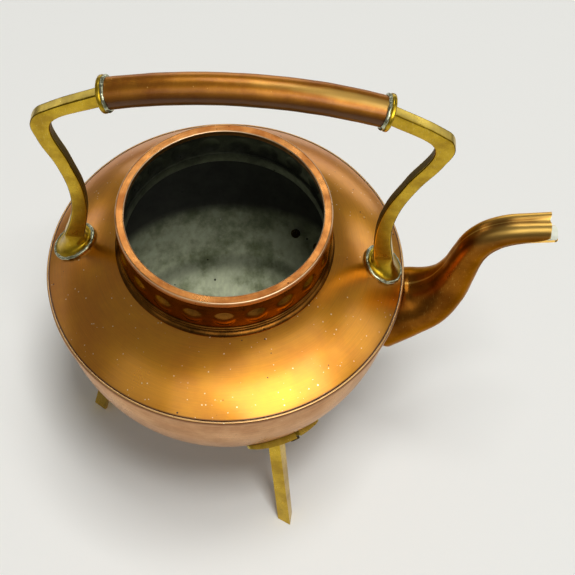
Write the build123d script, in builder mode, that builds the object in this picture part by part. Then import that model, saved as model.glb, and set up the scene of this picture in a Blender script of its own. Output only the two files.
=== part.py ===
"""Footed copper kettle with a fixed bail handle, an open bossed neck and a beaked spout.

Millimetres, +Z up, origin on the table under the middle of the body, +X towards the spout.
"""
from math import asin, atan2, cos, degrees, exp, radians, sin, sqrt
import os

from build123d import *

os.makedirs("parts", exist_ok=True)

# --- clearances -------------------------------------------------------------------------
seat_gap = 0.1          # between curved faces that are soldered together
hole_gap = 0.1          # radial room round a rivet, spigot or tang

# --- bowl: a spun half ellipsoid --------------------------------------------------------
sheet = 1.0             # thickness of the copper sheet
bowl_radius = 87.8
bowl_depth = 99.0
bowl_steps = 8          # spans of the curve that draws the bowl's profile
table_gap = 55.3        # height of the bowl's lowest point, room for a spirit burner
flange_width = 1.3      # turned-out edge that the shoulder's hem grips
flange_thickness = 0.8

# --- shoulder: a shallow cone with a folded hem -----------------------------------------
shoulder_rise = 20.5    # height from the hem to the neck
shoulder_crown = 2.6    # how far the cone bulges from a straight line
hem_wall = 0.8          # sheet that wraps the flange of the bowl
hem_crown = 1.9         # from the flange's channel up to the top of the hem
groove_depth = 0.6      # chased line just inside the hem
groove_width = 0.7
bead_width = 1.4        # rounded edge outside the chased line

# --- neck: collar with pressed bosses, and the mouth ring -------------------------------
neck_radius = 52.0      # outside of the collar
neck_wall = 0.9
neck_height = 23.4      # from the shoulder to the underside of the mouth ring
neck_foot_width = 2.2   # flange that lies on the shoulder
neck_foot_thickness = 1.2
neck_lip = 6.0          # height of the shoulder's turned-up edge inside the collar
bead_radius = 0.7       # chased beads round the foot of the collar
bead_pitch = 2.0
bead_count = 2
boss_count = 21
boss_radius = 5.4
boss_proud = 1.5
boss_drop = 11.0        # from the underside of the mouth ring to the middle of the bosses
boss_phase = -2.6       # azimuth of the boss that is nearest the spout
ring_width = 4.5
ring_height = 3.6
ring_overhang = 0.6     # ring beyond the outside of the collar
ring_round = 0.7

# --- spout ------------------------------------------------------------------------------
spout_wall = 1.0
spout_sides = 16        # points round each section
crease_width = 26.0     # how far the seam's crease spreads each way, degrees
# for each section: how far its middle is beyond the bowl's side and above the bowl's top
# edge, its radius, and the crease's depth as a share of the radius
spout_stations = [
    (-7.8, -27.3, 21.0, 0.00),
    (5.1, -20.1, 18.1, 0.02),
    (14.2, -14.1, 15.8, 0.05),
    (22.6, -2.8, 12.0, 0.09),
    (27.8, 11.4, 9.3, 0.10),
    (31.2, 25.5, 8.3, 0.10),
    (34.6, 36.3, 7.9, 0.10),
    (40.6, 44.9, 7.6, 0.11),
    (49.0, 50.5, 7.3, 0.13),
    (59.2, 53.3, 7.1, 0.15),
    (69.2, 55.0, 7.4, 0.17),
    (78.2, 56.3, 7.9, 0.17),
]
beak_top = (65.2, 62.7)         # where the two upper lobes end, on top of the spout
beak_corner = (69.8, 50.5)      # where the beak's cut turns along the lower lip
tongue_reach = 72.8             # end of the lower lip, beyond the bowl's side
tongue_rise = 1.0               # how far the lower lip's edge falls towards its end
tongue_bend = 9.0               # radius of the lower lip's end in plan

# --- handle -----------------------------------------------------------------------------
lean = 0.086            # how far the handle leans towards the spout, per millimetre of rise
foot_margin = 0.5       # from the edge of each foot out to the shoulder's chased line
foot_radius = 10.0
foot_edge = 1.0
foot_height = 8.0
foot_neck = 4.9
bar_width = 5.4
bar_chamfer = 0.6       # filed edges
spigot_radius = 2.4
peen_radius = 3.4
peen_thickness = 1.0
rove_radius = 6.0
rove_thickness = 1.2
grip_radius = 7.4
grip_wall = 1.0
grip_inset = 17.4       # ends of the grip inwards of the feet
grip_rise = 132.1       # ends of the grip above the hem
grip_crown = 8.5        # middle of the grip above its ends
ferrule_radius = 8.7
ferrule_thickness = 3.4
ferrule_spigot = 5.0
tang_radius = 2.2
tang_length = 12.0
tang_drop = 2.8         # tang below the axis of the grip
grip_solder = 0.9       # thickness of the solder bead round the tube at each ferrule
foot_solder = 0.8       # and round each foot
# outside of the bar from the ferrule to the foot, then its inside back up to the elbow:
# distance outwards of the foot and height above the hem, before the lean
bar_outer = [
    (11.1, 119.9),
    (16.5, 115.6),
    (18.5, 109.9),
    (15.4, 97.4),
    (7.2, 78.9),
    (1.5, 59.9),
    (0.1, 45.9),
    (1.2, 32.9),
]
bar_inner = [(-7.0, 30.9), (-7.4, 45.9), (-5.3, 61.9), (0.6, 80.9), (8.8, 110.7)]

# --- legs -------------------------------------------------------------------------------
leg_azimuths = {"front": -60.0, "back": 60.0, "rear": 180.0}
toe_inset = 8.5         # ridge of the leg where it stands, inwards of the bowl's side
leg_stand = 4.5         # ridge of the leg off the bowl at the palm's lower end
leg_width_top = 9.6
leg_width_toe = 8.6
leg_ridge = 4.0         # depth of the two outer faces at the top
toe_ridge = 6.4         # and at the pointed toe
leg_back = 1.2          # depth of the chamfered back
palm_fall = 50.3        # from the bowl's top edge down to the palm's
palm_height = 24.0
palm_lip = 3.9          # thickness of the palm at its top
palm_heel = 5.0         # and at its lower end
palm_bend = 45.0        # radius of the palm's top edge in plan
palm_left = 22.0        # reach of the long lobe
palm_right = 17.5       # reach of the short lobe
palm_lobe = 6.0         # height of the lobes' rounded ends
notch_offset = 3.6      # middle of the notch between the lobes
notch_width = 2.4
notch_depth = 5.0
leg_rivet_offsets = {"proud": 3.4, "flush": -12.0}
leg_rivet_drop = 7.5    # from the top of the palm
leg_rivet_radius = 1.5
leg_rivet_head = 2.5
leg_rivet_crown = 1.3

# --- sizes that follow ------------------------------------------------------------------
bowl_top = table_gap + bowl_depth
flange_radius = bowl_radius + flange_width
flange_top = bowl_top + flange_thickness
channel_radius = flange_radius + seat_gap
channel_bottom = bowl_top - seat_gap
channel_top = flange_top + seat_gap
body_radius = channel_radius + hem_wall
hem_bottom = channel_bottom - hem_wall
hem_top = channel_top + hem_crown
shoulder_edge = body_radius - bead_width - groove_width
shoulder_top = hem_top + shoulder_rise
foot_reach = shoulder_edge - foot_radius - foot_margin
grip_half_span = foot_reach - grip_inset
grip_end_z = hem_top + grip_rise
neck_bore = neck_radius - neck_wall
lip_radius = neck_bore - seat_gap
neck_foot = neck_radius + neck_foot_width
neck_top = shoulder_top + neck_height
ring_outer = neck_radius + ring_overhang
rove_seat = sheet + seat_gap + rove_radius**2 / (2 * foot_reach)
ring_inner = ring_outer - ring_width
ring_top = neck_top + ring_height
boss_z = neck_top - boss_drop


def bowl_r(z):
    """Radius of the bowl's outside at a height."""
    return bowl_radius * sqrt(1 - ((bowl_top - z) / bowl_depth) ** 2)


palm_top = bowl_top - palm_fall
palm_bottom = palm_top - palm_height
palm_reach = bowl_r(palm_top) + palm_lip
palm_draw = degrees(atan2(palm_reach - bowl_r(palm_bottom) - palm_heel, palm_height))
toe_radius = bowl_radius - toe_inset
leg_top = bowl_r(palm_bottom) + leg_stand


def bowl_points(offset=0.0):
    """Points of the bowl's quarter ellipse from its bottom to its top, moved out by an offset."""
    turns = [radians(90 * step / bowl_steps) for step in range(bowl_steps + 1)]
    return [
        ((bowl_radius + offset) * sin(turn), bowl_top - (bowl_depth + offset) * cos(turn))
        for turn in turns
    ]


shoulder_tilt = atan2(shoulder_rise, shoulder_edge - lip_radius)


def shoulder_arc(offset=0.0):
    """Inner end, middle and outer end of the shoulder's crowned line, moved up by an offset."""
    ends = [(lip_radius, shoulder_top), (shoulder_edge, hem_top)]
    middle = ((lip_radius + shoulder_edge) / 2, (shoulder_top + hem_top) / 2)
    rises = [offset, offset + shoulder_crown, offset]
    return [
        (r + rise * sin(shoulder_tilt), z + rise * cos(shoulder_tilt))
        for (r, z), rise in zip([ends[0], middle, ends[1]], rises)
    ]


def shoulder_point(radius):
    """Height and tilt, in radians, of the shoulder's outside at a radius."""
    line = ThreePointArc(*shoulder_arc(), mode=Mode.PRIVATE)
    low, high = 0.0, 1.0
    while high - low > 1e-9:
        middle = (low + high) / 2
        if (line @ middle).X < radius:
            low = middle
        else:
            high = middle
    along = line % low
    return (line @ low).Y, atan2(-along.Y, along.X)


# --- solids that other pieces are cut back to, not pieces themselves ---------------------
with BuildPart() as bowl_room:
    with BuildSketch(Plane.YZ):
        with BuildLine():
            skin = Spline(*bowl_points(seat_gap), tangents=[(1, 0), (0, 1)])
            Polyline(skin @ 1, (bowl_radius + seat_gap, hem_top), (0, hem_top), skin @ 0)
        make_face()
    revolve(axis=Axis.Z)

with BuildPart() as shoulder_room:
    with BuildSketch(Plane.YZ):
        with BuildLine():
            skin = ThreePointArc(*shoulder_arc(seat_gap))
            Polyline(
                skin @ 1,
                (body_radius + seat_gap, (skin @ 1).Y - bead_width / 2),
                (body_radius + seat_gap, hem_bottom - seat_gap),
                (0, hem_bottom - seat_gap),
                (0, (skin @ 0).Y),
                skin @ 0,
            )
        make_face()
    revolve(axis=Axis.Z)

# --- spout: lofted heart-shaped sections along a gooseneck --------------------------------
spout_plane = Plane(origin=(bowl_radius, 0, bowl_top), x_dir=(1, 0, 0), z_dir=(0, -1, 0))
with BuildLine(spout_plane) as spout_path:
    gooseneck = Spline(*[(reach, rise) for reach, rise, _, _ in spout_stations])


def spout_loft(shrink):
    """Closed skin through all the spout's stations, drawn in by a wall's thickness."""
    with BuildPart(mode=Mode.PRIVATE) as skin:
        for reach, rise, radius, crease in spout_stations:
            centre = spout_plane.from_local_coords(Vector(reach, rise, 0))
            along = gooseneck % gooseneck.param_at_point(centre)
            points = []
            for step in range(spout_sides):
                turn = 360 * step / spout_sides
                from_seam = min(turn, 360 - turn)
                r = radius * (1 - crease * exp(-((from_seam / crease_width) ** 2))) - shrink
                points.append((r * sin(radians(turn)), r * cos(radians(turn))))
            with BuildSketch(Plane(origin=centre, x_dir=(0, 1, 0), z_dir=along)):
                with BuildLine():
                    Spline(*points, periodic=True)
                make_face()
        loft()
    return skin.part


spout_outside = spout_loft(0)
spout_inside = spout_loft(spout_wall)

with BuildPart() as spout:
    add(spout_outside)
    add(spout_inside, mode=Mode.SUBTRACT)
    with BuildSketch(spout_plane):
        with BuildLine():
            Polyline(
                beak_top,
                beak_corner,
                (tongue_reach, beak_corner[1] - tongue_rise),
                (tongue_reach, -bowl_depth),
                (tongue_reach + body_radius, -bowl_depth),
                (tongue_reach + body_radius, body_radius),
                (beak_top[0], body_radius),
                close=True,
            )
        make_face()
    extrude(amount=foot_reach, both=True, mode=Mode.SUBTRACT)
    with BuildSketch(Plane.XY.offset(bowl_top)):
        with Locations((bowl_radius + tongue_reach - tongue_bend, 0)):
            Rectangle(body_radius, body_radius, align=(Align.MIN, Align.CENTER))
            Circle(tongue_bend, mode=Mode.SUBTRACT)
    extrude(amount=beak_corner[1], mode=Mode.SUBTRACT)
    add(bowl_room.part, mode=Mode.SUBTRACT)
    add(shoulder_room.part, mode=Mode.SUBTRACT)
spout.part.label = "spout"
export_step(spout.part, "parts/spout.step")


# --- legs, their palms and rivets ---------------------------------------------------------
def radial_plane(azimuth, z=0.0):
    """Level plane whose X runs outwards at an azimuth."""
    a = radians(azimuth)
    return Plane(origin=(0, 0, z), x_dir=(cos(a), sin(a), 0), z_dir=(0, 0, 1))


def facing_plane(azimuth):
    """Upright plane through the axis that faces outwards; its X runs round the body."""
    a = radians(azimuth)
    return Plane(origin=(0, 0, 0), x_dir=(-sin(a), cos(a), 0), z_dir=(cos(a), sin(a), 0))


leg_rivet_z = palm_top - leg_rivet_drop
bowl_slope = (bowl_radius / bowl_depth) ** 2 * (bowl_top - leg_rivet_z) / bowl_r(leg_rivet_z)
rivet_dip = atan2(bowl_slope, 1)


def rivet_plane(azimuth, offset):
    """Plane on the bowl's outside with Z along a rivet, offset round the body."""
    a = radians(azimuth) + asin(offset / bowl_r(leg_rivet_z))
    r = bowl_r(leg_rivet_z)
    outwards = (cos(a) * cos(rivet_dip), sin(a) * cos(rivet_dip), -sin(rivet_dip))
    return Plane(
        origin=(r * cos(a), r * sin(a), leg_rivet_z), x_dir=(-sin(a), cos(a), 0), z_dir=outwards
    )


palm_depth = palm_lip * cos(rivet_dip)


def palm_blank(azimuth):
    """The palm's lobed plate before it is drilled."""
    middle = (palm_right - palm_left) / 2
    with BuildPart(mode=Mode.PRIVATE) as blank:
        with BuildSketch(radial_plane(azimuth, palm_top)):
            with Locations((palm_reach - palm_bend, middle)):
                Circle(palm_bend)
        extrude(amount=palm_bottom - palm_top, taper=palm_draw)
        with BuildSketch(facing_plane(azimuth)):
            with BuildLine():
                Polyline(
                    (-palm_left + palm_lobe / 2, palm_top),
                    (notch_offset - notch_width / 2, palm_top),
                    (notch_offset - notch_width / 4, palm_top - notch_depth),
                    (notch_offset + notch_width / 4, palm_top - notch_depth),
                    (notch_offset + notch_width / 2, palm_top),
                    (palm_right - palm_lobe / 2, palm_top),
                )
                right_end = TangentArc(
                    (palm_right - palm_lobe / 2, palm_top),
                    (palm_right - palm_lobe / 2, palm_top - palm_lobe),
                    tangent=(1, 0),
                )
                Spline(
                    right_end @ 1,
                    (leg_width_top / 2, palm_bottom),
                    tangents=[(-1, 0), (-0.2, -1)],
                )
                Line((leg_width_top / 2, palm_bottom), (-leg_width_top / 2, palm_bottom))
                Spline(
                    (-leg_width_top / 2, palm_bottom),
                    (-palm_left + palm_lobe / 2, palm_top - palm_lobe),
                    tangents=[(-0.2, 1), (-1, 0)],
                )
                TangentArc(
                    (-palm_left + palm_lobe / 2, palm_top - palm_lobe),
                    (-palm_left + palm_lobe / 2, palm_top),
                    tangent=(-1, 0),
                )
            make_face()
        extrude(amount=palm_reach * 2, mode=Mode.INTERSECT)
        add(bowl_room.part, mode=Mode.SUBTRACT)
    return blank.part


for side, azimuth in leg_azimuths.items():
    with BuildPart() as leg:
        for z, ridge, depth, width in (
            (0.0, toe_radius, toe_ridge, leg_width_toe),
            (palm_bottom, leg_top, leg_ridge, leg_width_top),
        ):
            with BuildSketch(radial_plane(azimuth, z)):
                with BuildLine():
                    Polyline(
                        (ridge, 0),
                        (ridge - depth, width / 2),
                        (ridge - depth - leg_back, width / 2 - leg_back),
                        (ridge - depth - leg_back, leg_back - width / 2),
                        (ridge - depth, -width / 2),
                        close=True,
                    )
                make_face()
        loft()
        add(bowl_room.part, mode=Mode.SUBTRACT)
    leg.part.label = f"leg_{side}"
    export_step(leg.part, f"parts/leg_{side}.step")

    with BuildPart() as leg_palm:
        add(palm_blank(azimuth))
        for offset in leg_rivet_offsets.values():
            with BuildSketch(rivet_plane(azimuth, offset)):
                Circle(leg_rivet_radius + hole_gap)
            extrude(amount=palm_reach, mode=Mode.SUBTRACT)
    leg_palm.part.label = f"leg_palm_{side}"
    export_step(leg_palm.part, f"parts/leg_palm_{side}.step")

    with BuildPart() as leg_rivets:
        for kind, offset in leg_rivet_offsets.items():
            seat = rivet_plane(azimuth, offset)
            inside = -sheet - seat_gap
            outside = palm_depth + seat_gap
            with BuildSketch(seat.offset(inside - leg_rivet_crown)):
                Circle(leg_rivet_head)
            extrude(amount=leg_rivet_crown)
            with BuildSketch(seat.offset(inside)):
                Circle(leg_rivet_radius)
            extrude(amount=outside - inside + (leg_rivet_crown if kind == "proud" else -seat_gap))
            if kind == "proud":
                with BuildSketch(seat.offset(outside)):
                    Circle(leg_rivet_head)
                extrude(amount=leg_rivet_crown)
    leg_rivets.part.label = f"leg_rivets_{side}"
    export_step(leg_rivets.part, f"parts/leg_rivets_{side}.step")

# --- bowl ---------------------------------------------------------------------------------
with BuildPart() as bowl:
    with BuildSketch(Plane.YZ):
        with BuildLine():
            outside = Spline(*bowl_points(), tangents=[(1, 0), (0, 1)])
            inside = Spline(*bowl_points(-sheet), tangents=[(1, 0), (0, 1)])
            Polyline(
                outside @ 1,
                (flange_radius, bowl_top),
                (flange_radius, flange_top),
                (bowl_radius - sheet, flange_top),
                inside @ 1,
            )
            Line(outside @ 0, inside @ 0)
        make_face()
    revolve(axis=Axis.Z)
    add(spout_inside, mode=Mode.SUBTRACT)
    for azimuth in leg_azimuths.values():
        for offset in leg_rivet_offsets.values():
            with BuildSketch(rivet_plane(azimuth, offset)):
                Circle(leg_rivet_radius + hole_gap)
            extrude(amount=sheet * 3, both=True, mode=Mode.SUBTRACT)
bowl.part.label = "bowl"
export_step(bowl.part, "parts/bowl.step")

# --- shoulder -------------------------------------------------------------------------------
foot_z, foot_tilt = shoulder_point(foot_reach)


def foot_plane(side):
    """Plane on the shoulder under a handle foot, with Z along the shoulder's normal."""
    return Plane(
        origin=(side * foot_reach, 0, foot_z),
        x_dir=(side * cos(foot_tilt), 0, -sin(foot_tilt)),
        z_dir=(side * sin(foot_tilt), 0, cos(foot_tilt)),
    )


with BuildPart() as shoulder:
    with BuildSketch(Plane.YZ):
        with BuildLine():
            outside = ThreePointArc(*shoulder_arc())
            inside = ThreePointArc(*shoulder_arc(-sheet))
            bead_start = (body_radius - bead_width, hem_top - groove_depth / 3)
            bead_end = (body_radius, hem_top - bead_width)
            groove = (shoulder_edge + groove_width / 2, hem_top - groove_depth)
            Polyline(outside @ 1, groove, bead_start)
            ThreePointArc(
                bead_start,
                (body_radius - bead_width * 0.3, hem_top - bead_width * 0.45),
                bead_end,
            )
            Polyline(
                bead_end,
                (body_radius, hem_bottom + hem_wall / 2),
                (body_radius - hem_wall / 2, hem_bottom),
                (bowl_radius + seat_gap, hem_bottom),
                (bowl_radius + seat_gap, channel_bottom),
                (channel_radius, channel_bottom),
                (channel_radius, channel_top),
                (bowl_radius, channel_top),
                inside @ 1,
            )
            Polyline(
                inside @ 0,
                (lip_radius - sheet, shoulder_top),
                (lip_radius - sheet, shoulder_top + neck_lip),
                (lip_radius, shoulder_top + neck_lip),
                outside @ 0,
            )
        make_face()
    revolve(axis=Axis.Z)
    for side in (1, -1):
        with BuildSketch(foot_plane(side)):
            Circle(spigot_radius + hole_gap)
        extrude(amount=sheet * 3, both=True, mode=Mode.SUBTRACT)
shoulder.part.label = "shoulder"
export_step(shoulder.part, "parts/shoulder.step")

# --- neck collar with its pressed bosses ------------------------------------------------------
boss_sphere = (boss_radius**2 + boss_proud**2) / (2 * boss_proud)
boss_centre = neck_radius + boss_proud - boss_sphere
foot_low = shoulder_point(neck_foot)[0] + seat_gap
foot_high = shoulder_point(neck_bore)[0] + seat_gap
foot_root = foot_low + neck_foot_thickness + neck_foot_width / 2

with BuildPart() as neck_collar:
    with BuildSketch(Plane.YZ):
        with BuildLine():
            Polyline(
                (neck_radius, neck_top),
                (0, neck_top),
                (0, foot_high),
                (neck_bore, foot_high),
                (neck_foot, foot_low),
                (neck_foot, foot_low + neck_foot_thickness / 2),
            )
            RadiusArc(
                (neck_foot, foot_low + neck_foot_thickness / 2), (neck_radius, foot_root), neck_foot_width
            )
            Line((neck_radius, foot_root), (neck_radius, neck_top))
        make_face()
        with Locations(
            *[(neck_radius, foot_root + bead_radius + bead_pitch * step) for step in range(bead_count)]
        ):
            Circle(bead_radius)
    revolve(axis=Axis.Z)
    with Locations((0, 0, boss_z)):
        with PolarLocations(boss_centre, boss_count, start_angle=boss_phase):
            Sphere(boss_sphere)
    with BuildSketch(Plane.XY.offset(shoulder_top - shoulder_rise)):
        Circle(neck_bore)
    extrude(until=Until.LAST, mode=Mode.SUBTRACT)
    with Locations((0, 0, boss_z)):
        with PolarLocations(boss_centre, boss_count, start_angle=boss_phase):
            Sphere(boss_sphere - neck_wall, mode=Mode.SUBTRACT)
neck_collar.part.label = "neck_collar"
export_step(neck_collar.part, "parts/neck_collar.step")

with BuildPart() as mouth_ring:
    with BuildSketch(Plane.XY.offset(neck_top)):
        Circle(ring_outer)
        Circle(ring_inner, mode=Mode.SUBTRACT)
    extrude(amount=ring_height)
    fillet(mouth_ring.edges().group_by(Axis.Z)[-1], ring_round)
    fillet(mouth_ring.edges().group_by(Axis.Z)[0].sort_by(SortBy.LENGTH)[-1], ring_round)
mouth_ring.part.label = "mouth_ring"
export_step(mouth_ring.part, "parts/mouth_ring.step")


# --- handle -----------------------------------------------------------------------------------
def leaned(side, reach, z):
    """Point of the handle in its upright plane, after the lean towards the spout."""
    return (side * reach + lean * (z - hem_top), z)


def bar_points(side, points):
    """Points of a bar's outline in the handle's plane."""
    return [leaned(side, foot_reach + out, hem_top + rise) for out, rise in points]


grip_ends = {side: leaned(side, grip_half_span, grip_end_z) for side in (1, -1)}
with BuildLine(Plane.XZ) as grip_path:
    grip_arc = ThreePointArc(grip_ends[-1], leaned(0, 0, grip_end_z + grip_crown), grip_ends[1])


def grip_plane(side, offset=0.0):
    """Plane across one end of the grip, facing out of the tube."""
    along = (grip_arc % 1) if side > 0 else (grip_arc % 0) * -1
    x, z = grip_ends[side]
    return Plane(origin=(x, 0, z), x_dir=(0, 1, 0), z_dir=along).offset(offset)


def upright_plane(level):
    """Plane through another one's axis and the Y direction."""
    return Plane(origin=level.origin, x_dir=(0, 1, 0), z_dir=Vector(0, 1, 0).cross(level.z_dir))


with BuildPart() as grip_tube:
    with BuildSketch(Plane(origin=grip_arc @ 0, x_dir=(0, 1, 0), z_dir=grip_arc % 0)):
        Circle(grip_radius)
        Circle(grip_radius - grip_wall, mode=Mode.SUBTRACT)
    sweep(path=grip_arc)
grip_tube.part.label = "grip_tube"
export_step(grip_tube.part, "parts/grip_tube.step")

for side, name in ((1, "front"), (-1, "rear")):
    tang_side = -tang_drop * side
    with BuildPart() as ferrule:
        with BuildSketch(grip_plane(side)):
            Circle(ferrule_radius)
        extrude(amount=ferrule_thickness)
        fillet(ferrule.edges().filter_by(GeomType.CIRCLE), ferrule_thickness / 4)
        with BuildSketch(grip_plane(side)):
            Circle(grip_radius - grip_wall - seat_gap)
        extrude(amount=-ferrule_spigot)
        with BuildSketch(grip_plane(side)):
            with Locations((0, tang_side)):
                Circle(tang_radius + hole_gap)
        extrude(amount=ferrule_thickness * 3, both=True, mode=Mode.SUBTRACT)
    ferrule.part.label = f"ferrule_{name}"
    export_step(ferrule.part, f"parts/ferrule_{name}.step")

    seat = foot_plane(side)
    arm_face = grip_plane(side, ferrule_thickness)
    foot_top = foot_height - foot_edge
    arm_in = foot_reach - grip_half_span
    with BuildPart() as bracket:
        with BuildSketch(Plane.XZ):
            with BuildLine():
                foot_out = (seat * Pos(foot_neck, 0, foot_top)).position
                foot_in = (seat * Pos(-foot_neck, 0, foot_top)).position
                outer = Spline(*bar_points(side, bar_outer), (foot_out.X, foot_out.Z))
                inner = Spline((foot_in.X, foot_in.Z), *bar_points(side, bar_inner))
                Line(outer @ 1, inner @ 0)
                # the arm runs on behind the ferrule's face, parallel to the grip's end
                (top_out, top_rise), (low_out, low_rise) = bar_outer[0], bar_inner[-1]
                arm_ends = [
                    (-arm_in, low_rise + (low_out + arm_in) / 2),
                    (-arm_in, top_rise + (top_out + arm_in) / 2),
                ]
                Polyline(inner @ 1, *bar_points(side, arm_ends), outer @ 0)
            make_face()
        extrude(amount=bar_width / 2, both=True)
        chamfer(bracket.faces().filter_by(Axis.Y).edges(), bar_chamfer)
        split(bisect_by=arm_face, keep=Keep.TOP)
        with BuildSketch(Plane(origin=seat.origin, x_dir=seat.x_dir, z_dir=(0, -side, 0))):
            with BuildLine():
                Polyline((0, foot_height), (0, -foot_edge * 2), (foot_radius, -foot_edge * 2))
                Line((foot_radius, -foot_edge * 2), (foot_radius, foot_edge))
                flare = Spline(
                    (foot_radius, foot_edge),
                    (foot_neck, foot_height),
                    tangents=[(-1, 0.25), (-0.1, 1)],
                )
                Line(flare @ 1, (0, foot_height))
            make_face()
        revolve(axis=Axis(seat.origin, seat.z_dir))
        add(shoulder_room.part, mode=Mode.SUBTRACT)
        with BuildSketch(arm_face):
            with Locations((0, tang_side)):
                Circle(tang_radius)
        extrude(amount=-tang_length)
        with BuildSketch(seat.offset(foot_edge)):
            Circle(spigot_radius)
        extrude(amount=-(foot_edge + rove_seat + rove_thickness))
        with BuildSketch(seat.offset(-(rove_seat + rove_thickness))):
            Circle(peen_radius)
        extrude(amount=-peen_thickness)
    bracket.part.label = f"bracket_{name}"
    export_step(bracket.part, f"parts/bracket_{name}.step")

    with BuildPart() as rove:
        with BuildSketch(seat.offset(-rove_seat)):
            Circle(rove_radius)
            Circle(spigot_radius + hole_gap, mode=Mode.SUBTRACT)
        extrude(amount=-rove_thickness)
    rove.part.label = f"rove_{name}"
    export_step(rove.part, f"parts/rove_{name}.step")

    with BuildPart() as bead:
        with BuildSketch(upright_plane(grip_plane(side))):
            with Locations((grip_radius + seat_gap, 0)):
                Circle(grip_solder)
                Rectangle(
                    grip_solder * 2, grip_solder, align=(Align.CENTER, Align.MIN), mode=Mode.SUBTRACT
                )
                Rectangle(
                    grip_solder, grip_solder * 2, align=(Align.MAX, Align.CENTER), mode=Mode.SUBTRACT
                )
        revolve(axis=Axis(grip_plane(side).origin, grip_plane(side).z_dir))
    bead.part.label = f"grip_solder_{name}"
    export_step(bead.part, f"parts/grip_solder_{name}.step")

    with BuildPart() as bead:
        with BuildSketch(upright_plane(seat)):
            with BuildLine():
                Polyline(
                    (foot_radius, foot_edge),
                    (foot_radius, -foot_edge * 2),
                    (foot_radius + foot_solder, -foot_edge * 2),
                    (foot_radius + foot_solder, 0),
                )
                RadiusArc((foot_radius + foot_solder, 0), (foot_radius, foot_edge), foot_edge * 2)
            make_face()
        revolve(axis=Axis(seat.origin, seat.z_dir))
        add(shoulder_room.part, mode=Mode.SUBTRACT)
    bead.part.label = f"foot_solder_{name}"
    export_step(bead.part, f"parts/foot_solder_{name}.step")
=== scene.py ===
"""Looks of a footed copper kettle with brass fittings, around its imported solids.

Sizes are in millimetres and turned to metres with MM where a mesh is made. The origin is on
the table under the middle of the body, +Z is up and +X runs towards the spout.
"""

import logging
import math
from collections.abc import Callable
from dataclasses import dataclass, field, replace
from enum import Enum

import bmesh
import bpy
from mathutils import Matrix, Vector, noise


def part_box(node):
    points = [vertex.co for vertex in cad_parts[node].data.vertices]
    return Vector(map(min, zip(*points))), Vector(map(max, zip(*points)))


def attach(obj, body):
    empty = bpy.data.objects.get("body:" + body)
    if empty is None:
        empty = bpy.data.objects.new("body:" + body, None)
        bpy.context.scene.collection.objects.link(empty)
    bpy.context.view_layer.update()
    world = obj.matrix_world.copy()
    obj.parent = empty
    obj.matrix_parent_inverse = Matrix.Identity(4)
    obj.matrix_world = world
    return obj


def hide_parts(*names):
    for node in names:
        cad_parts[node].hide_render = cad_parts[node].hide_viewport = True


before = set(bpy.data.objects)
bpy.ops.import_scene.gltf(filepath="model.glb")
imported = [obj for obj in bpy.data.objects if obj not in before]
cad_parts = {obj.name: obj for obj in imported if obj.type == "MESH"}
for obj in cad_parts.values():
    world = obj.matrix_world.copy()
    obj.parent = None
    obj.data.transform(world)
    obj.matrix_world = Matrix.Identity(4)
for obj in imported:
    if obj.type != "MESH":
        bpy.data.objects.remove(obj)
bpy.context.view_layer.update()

MM = 0.001
# A point of a profile nearer the axis than this is a pole, where the rings close to one point.
POLE_RADIUS = 1e-6
LOG = logging.getLogger("kettle")


class Grain(Enum):
    """How the surface of a metal was worked, which sets the run of its fine lines."""

    SPUN = "rings round the body's axis"
    RUBBED = "short strokes of a polishing rag"


# How strongly a mesh is marked at a ring and at a place in it, or None for no marks.
Marks = Callable[[int, int], float] | None


class Lights(Enum):
    """What a lamp is for: mirrored by the metal, or shadows on the table."""

    METAL = "metal"
    TABLE = "table"


class Side(Enum):
    """The two ends of the handle: towards the spout, and away from it."""

    FRONT = 1
    REAR = -1

    @property
    def piece(self) -> str:
        """Ending of the piece's name."""
        return self.name.lower()


# --- small tools ------------------------------------------------------------------------


def linear(colour: str) -> tuple[float, float, float, float]:
    """Turn an sRGB hex colour to the linear values that a shader takes.

    Args:
        colour: six hex digits after a hash sign.

    Returns:
        Red, green, blue and an alpha of 1.
    """
    parts = [int(colour[place : place + 2], 16) / 255 for place in (1, 3, 5)]
    return (
        *[part / 12.92 if part <= 0.04045 else ((part + 0.055) / 1.055) ** 2.4 for part in parts],
        1.0,
    )


def add(
    tree: bpy.types.NodeTree,
    kind: str,
    inputs: dict | None = None,
    pick: int | str | None = 0,
    **settings: object,
) -> bpy.types.NodeSocket | bpy.types.Node:
    """Add a node to a tree with its settings, and link or set its inputs.

    Args:
        tree: shader or geometry tree.
        kind: the node's type name.
        inputs: value or upstream socket for each input, by name or place in the node.
        pick: output to hand back, or None for the node itself.
        settings: attributes of the node.

    Returns:
        The picked output socket, or the node.
    """
    node = tree.nodes.new(kind)
    for key, value in settings.items():
        setattr(node, key, value)
    for key, value in (inputs or {}).items():
        if isinstance(value, bpy.types.NodeSocket):
            tree.links.new(value, node.inputs[key])
        else:
            node.inputs[key].default_value = value
    return node if pick is None else node.outputs[pick]


def lerp(low: float, high: float, share: float) -> float:
    """Value at a share of the way from low to high."""
    return low + (high - low) * share


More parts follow.
